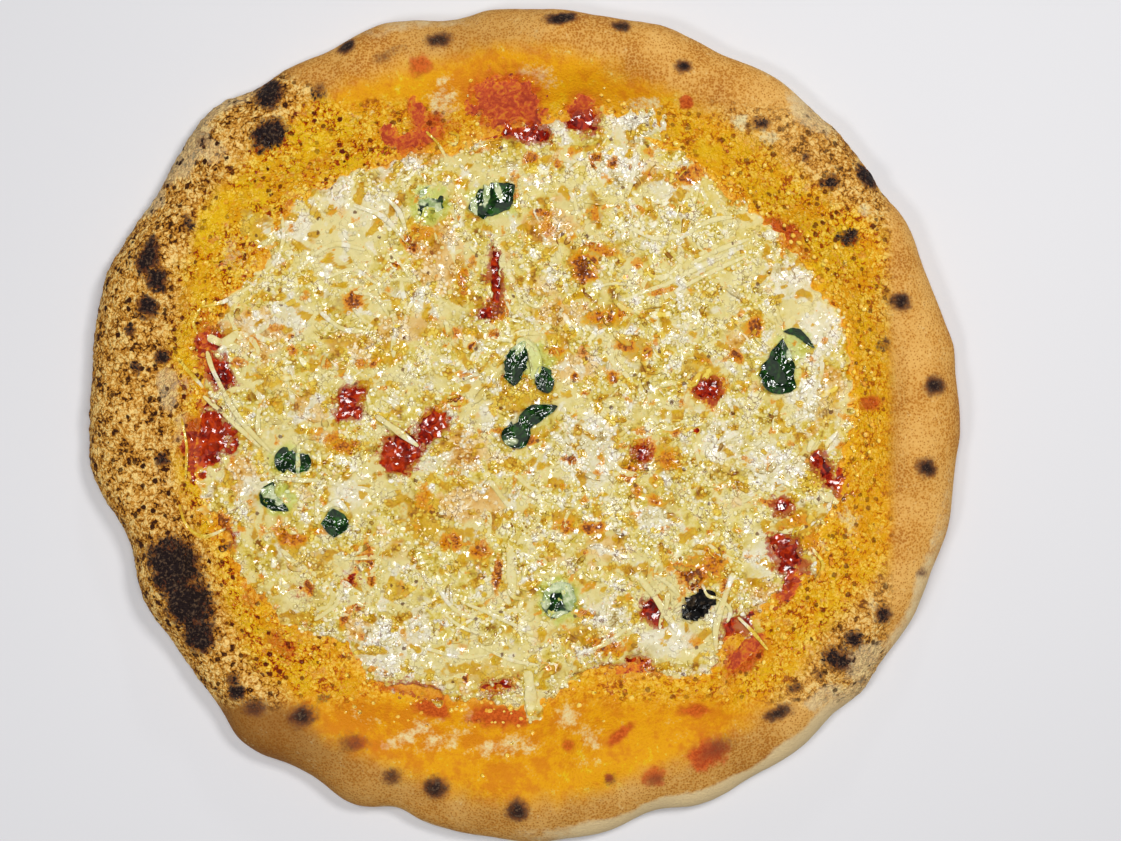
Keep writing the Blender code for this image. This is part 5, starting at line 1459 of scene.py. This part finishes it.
leaf = {
    "rows": 56, "columns": 40, "thickness": 0.35, "rise": 0.7, "veilHeight": 0.35,
    "veins": 5, "veinSlant": 0.45, "veinDepth": 0.3, "ribDepth": 0.35, "ribWidth": 0.12, "ribLine": 0.07,
    "green": srgb(2, 30, 4), "lightGreen": srgb(30, 84, 10), "vein": srgb(52, 90, 20),
    "burnt": srgb(6, 5, 5), "ash": srgb(70, 58, 44), "film": srgb(150, 172, 104),
    "filmLight": srgb(226, 232, 190),
    "oil": {"Facets per metre": 300.0, "Facet lean": 0.5, "Wet share": 0.6, "Film": 0.6}, "bumpHeight": 0.2,
    "gloss": 0.8, "burntGloss": 0.2, "roughness": 0.07, "burntRoughness": 0.2,
}
# where melted cheese veils a leaf
veilSpots = (
    (-0.6, 28.5, 5, 1.5, 0.9, 25), (4.4, 24.5, 4.5, 2.2, 1, -75), (-1.2, 26, 2, 1, 0.8, 40),
    (5, 19, 2, 1.2, 0.6, 60), (-89, -24.4, 3.4, 2.6, 1, 20), (-86, -27, 3, 1.6, 0.8, 30),
    (13, -57.6, 5, 2.6, 1, 20), (16.6, -62, 2.4, 4, 0.9, 10), (8.6, -61, 1.6, 5, 0.9),
    (13.6, -68, 4, 1.6, 0.7), (-35, 81, 3, 3, 0.9), (-31, 77, 2, 4, 0.8, 30), (-33, 86, 4, 2, 0.8),
    (-17.4, 80, 1.2, 7, 0.9, 8), (-12.6, 82, 1.2, 6, 0.95, -6), (-8.6, 83.6, 0.9, 4, 0.9, 20),
    (-67, -29, 3, 1.2, 0.8, 30), (-79.6, -13, 0.7, 6, 1), (94.8, 24.4, 1.2, 3.6, 0.4), (10, 9, 2, 1.5, 0.4),
    (-4, -6.4, 3, 1.2, 0.4),
)


def leafSurface(rib, halfWidths, curl, crumple, sunk, frayed, seed):
    # u runs 0..1 along the midrib and v -1..1 across it. The height is the cheese's, smoothed over the leaf,
    # plus cupping between the side veins, a groove at the midrib, crumples, and edges that curl up
    rows, columns = leaf["rows"], leaf["columns"]
    middle = spline(rib, rows)
    along = np.gradient(middle, axis=0)
    along /= np.linalg.norm(along, axis=1)[:, None]
    u = np.linspace(0, 1, rows)[:, None]
    v = np.linspace(-1, 1, columns)[None, :]
    half = np.interp(u, np.linspace(0, 1, len(halfWidths)), halfWidths)
    half = half * np.sqrt(np.clip(1 - (2 * u - 1) ** 8, 0.01, 1))
    draw = np.random.default_rng(seed)
    p = np.stack(np.broadcast_arrays(u * 4.4, v * 1.6, seed * 3.7), axis=-1)
    ragged = 1 + frayed * (0.6 * gradientNoise(p, 1.1, seed) + 0.5 * gradientNoise(p, 0.4, seed + 5))
    across = v * half * ragged
    x = middle[:, 0:1] - along[:, 1:2] * across
    y = middle[:, 1:2] + along[:, 0:1] * across
    veinPhase = leaf["veins"] * (2 * u - 1 - leaf["veinSlant"] * np.abs(v)) * np.pi / 2 + draw.random()
    cupping = leaf["veinDepth"] * (np.abs(np.sin(veinPhase)) ** 0.6 - 0.6) * (1 - v * v) ** 0.4
    groove = -leaf["ribDepth"] * np.exp(-((v / leaf["ribWidth"]) ** 2))
    crumples = crumple * (0.55 * gradientNoise(p, 0.8, seed + 1) + 0.3 * gradientNoise(p, 0.38, seed + 2))
    lift = curl * (0.25 + 0.75 * v * v) * (0.7 + 0.5 * np.sin(6 * u + 2 * seed))
    dip = sunk * smoothstep(-0.35, 0.35, gradientNoise(p, 1.3, seed + 3)) if sunk > 0 else sunk
    centreX, centreY = middle.mean(axis=0)
    base = cheeseTop(centreX + 0.8 * (x - centreX), centreY + 0.8 * (y - centreY))
    for _ in range(6):
        base[1:-1] = (base[:-2] + base[1:-1] + base[2:]) / 3
        base[:, 1:-1] = (base[:, :-2] + base[:, 1:-1] + base[:, 2:]) / 3
    upper = np.stack([x, y, base + leaf["rise"] + cupping + groove + crumples + lift - dip], axis=-1)
    sideVeins = 0.7 * smoothstep(0.25, 0.0, np.abs(np.sin(veinPhase)))
    return upper, np.clip(np.exp(-((v / leaf["ribLine"]) ** 2)) + sideVeins, 0, 1)


def makeLeafMaterial(burnt):
    # wilted green with paler veins, veiled by melted cheese here and there; or burnt black
    gloss, roughness = ("burntGloss", "burntRoughness") if burnt else ("gloss", "roughness")
    material, tree, shader = newMaterial("burntBasil" if burnt else "wiltedBasil",
                                         **{"Specular IOR Level": leaf[gloss]})
    blotch = noise(tree, 2.6, 3.0)
    if burnt:
        skin = mixColour(tree, remap(tree, blotch, 0.5, 0.7), leaf["burnt"], leaf["ash"])
    else:
        skin = mixColour(tree, remap(tree, blotch, 0.45, 0.7), leaf["green"], leaf["lightGreen"])
        skin = mixColour(tree, times(tree, field(tree, "vein"), 0.4), skin, leaf["vein"])
        film = mixColour(tree, remap(tree, blotch, 0.35, 0.65), leaf["film"], leaf["filmLight"])
        veil = weigh(tree, field(tree, "veil"), (blotch, 0.7), -0.35)
        skin = mixColour(tree, remap(tree, veil, 0.15, 0.6, 0.0, 0.92), skin, film)
    tree.links.new(skin, shader.inputs["Base Color"])
    oily(tree, shader, {**leaf["oil"], "Roughness": leaf[roughness]}, leaf["bumpHeight"])
    return material


def sheetGroups(rows, columns):
    # faces of a thin sheet: upper grid, lower grid and the wall between their rims
    top = gridFaces(rows, columns, False)
    rim = rimNumbers(np.arange(rows * columns).reshape(rows, columns))
    below = rim + rows * columns
    wall = np.stack([rim, below, np.roll(below, -1), np.roll(rim, -1)], axis=-1)
    return [top[:, ::-1], top + rows * columns, wall[:, ::-1]]


def makeLeaves():
    # each leaf is a thin sheet, its upper and lower face alike, raised a little where cheese veils it
    greenMaterial, burntMaterial = makeLeafMaterial(False), makeLeafMaterial(True)
    groups = sheetGroups(leaf["rows"], leaf["columns"])
    for seed, (node, values) in enumerate(leaves.items(), start=1):
        upper, veinMask = leafSurface(*values, seed)
        lower = upper - (0, 0, leaf["thickness"])
        points = np.concatenate([upper.reshape(-1, 3), lower.reshape(-1, 3)])
        burnt = node.startswith("burnt")
        words = node.split("_")
        name = words[0] + "".join(word.capitalize() for word in words[1:])
        veil = spots(points[:, 0], points[:, 1], veilSpots, 0.5, 44)
        points[:, 2] += leaf["veilHeight"] * veil
        fields = {"vein": np.tile(veinMask.ravel(), 2), "veil": 0 * veil if burnt else veil}
        obj = newPiece(name, points, groups, fields, burntMaterial if burnt else greenMaterial)
        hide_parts(node)
    print("leaves made:", len(leaves))


# Part: floor, light, camera

studio = {
    "floor": srgb(226, 226, 230), "floorShade": srgb(210, 210, 216), "floorRoughness": 0.6, "floorSize": 3.0,
    "floorGap": 0.0001, "ambient": 0.1,
    "viewMiddle": (13.6675, 1.2425),  # mm
    "viewWidth": 0.398, "viewHeight": 0.8, "focusHeight": 0.01, "sensor": 36.0,
}
# name, place in m, width in m, power in W, colour
lights = (
    ("keyLight", (0.4, 0.26, 1.0), 0.24, 4.7, (1.0, 0.98, 0.95)),
    ("topLight", (-0.14, 0.18, 1.2), 0.22, 3.1, (1, 1, 1)),
    ("rightLight", (0.22, -0.1, 1.25), 0.22, 2.8, (1, 1, 1)),
    ("leftLight", (-0.42, -0.26, 0.95), 0.22, 2.2, (1, 1, 1)),
    ("lowLight", (0.1, 0.9, 0.45), 0.1, 0.6, (1, 1, 1)),
)


def areaLight(name, location, size, power, colour):
    # a round lamp that looks at the pizza's middle
    light = bpy.data.lights.new(name, "AREA")
    light.shape, light.size, light.energy, light.color = "DISK", size, power, colour
    obj = bpy.data.objects.new(name, light)
    obj.location = location
    x, y, z = location
    obj.rotation_euler = (math.atan2(math.hypot(x, y), z), 0, math.atan2(x, -y))
    bpy.context.scene.collection.objects.link(obj)


def makeStudio():
    # a pale floor, a dim world, five soft lamps and a camera that looks straight down
    half, low = studio["floorSize"] / 2, -studio["floorGap"]
    mesh = bpy.data.meshes.new("floor")
    corners = [(-half, -half, low), (half, -half, low), (half, half, low), (-half, half, low)]
    mesh.from_pydata(corners, [], [(0, 1, 2, 3)])
    floor = bpy.data.objects.new("floor", mesh)
    bpy.context.scene.collection.objects.link(floor)
    material, tree, shader = newMaterial("paleFloor", Roughness=studio["floorRoughness"])
    clouds = remap(tree, noise(tree, 240, 2.0), 0.3, 0.7, 0.0, 0.06)
    tone = mixColour(tree, clouds, studio["floor"], studio["floorShade"])
    tree.links.new(tone, shader.inputs["Base Color"])
    mesh.materials.append(material)
    world = bpy.data.worlds.new("studio")
    world.use_nodes = True
    background = world.node_tree.nodes["Background"].inputs
    background["Color"].default_value = (1.0, 1.0, 1.0, 1)
    background["Strength"].default_value = studio["ambient"]
    bpy.context.scene.world = world
    for light in lights:
        areaLight(*light)
    camera = bpy.data.objects.new("camera", bpy.data.cameras.new("camera"))
    bpy.context.scene.collection.objects.link(camera)
    x, y, _ = toFrame(np.array([*studio["viewMiddle"], 0.0]))
    camera.location = (x, y, studio["viewHeight"])
    camera.data.sensor_width = studio["sensor"]
    distance = studio["viewHeight"] - studio["focusHeight"]
    camera.data.lens = studio["sensor"] * distance / studio["viewWidth"]
    bpy.context.scene.camera = camera
    bpy.context.scene.view_settings.view_transform = "Standard"
    print("studio made")


crustPoints, crustGroups = crustSurface()
fit = frameShift(crustPoints)
makeCrust(crustPoints, crustGroups)
makeSauce(makeSauceMaterial())
provolone = makeCheeseMaterial()
makeCheese(provolone)
makeGrains(provolone)
makeShreds(provolone)
makeLeaves()
makeStudio()
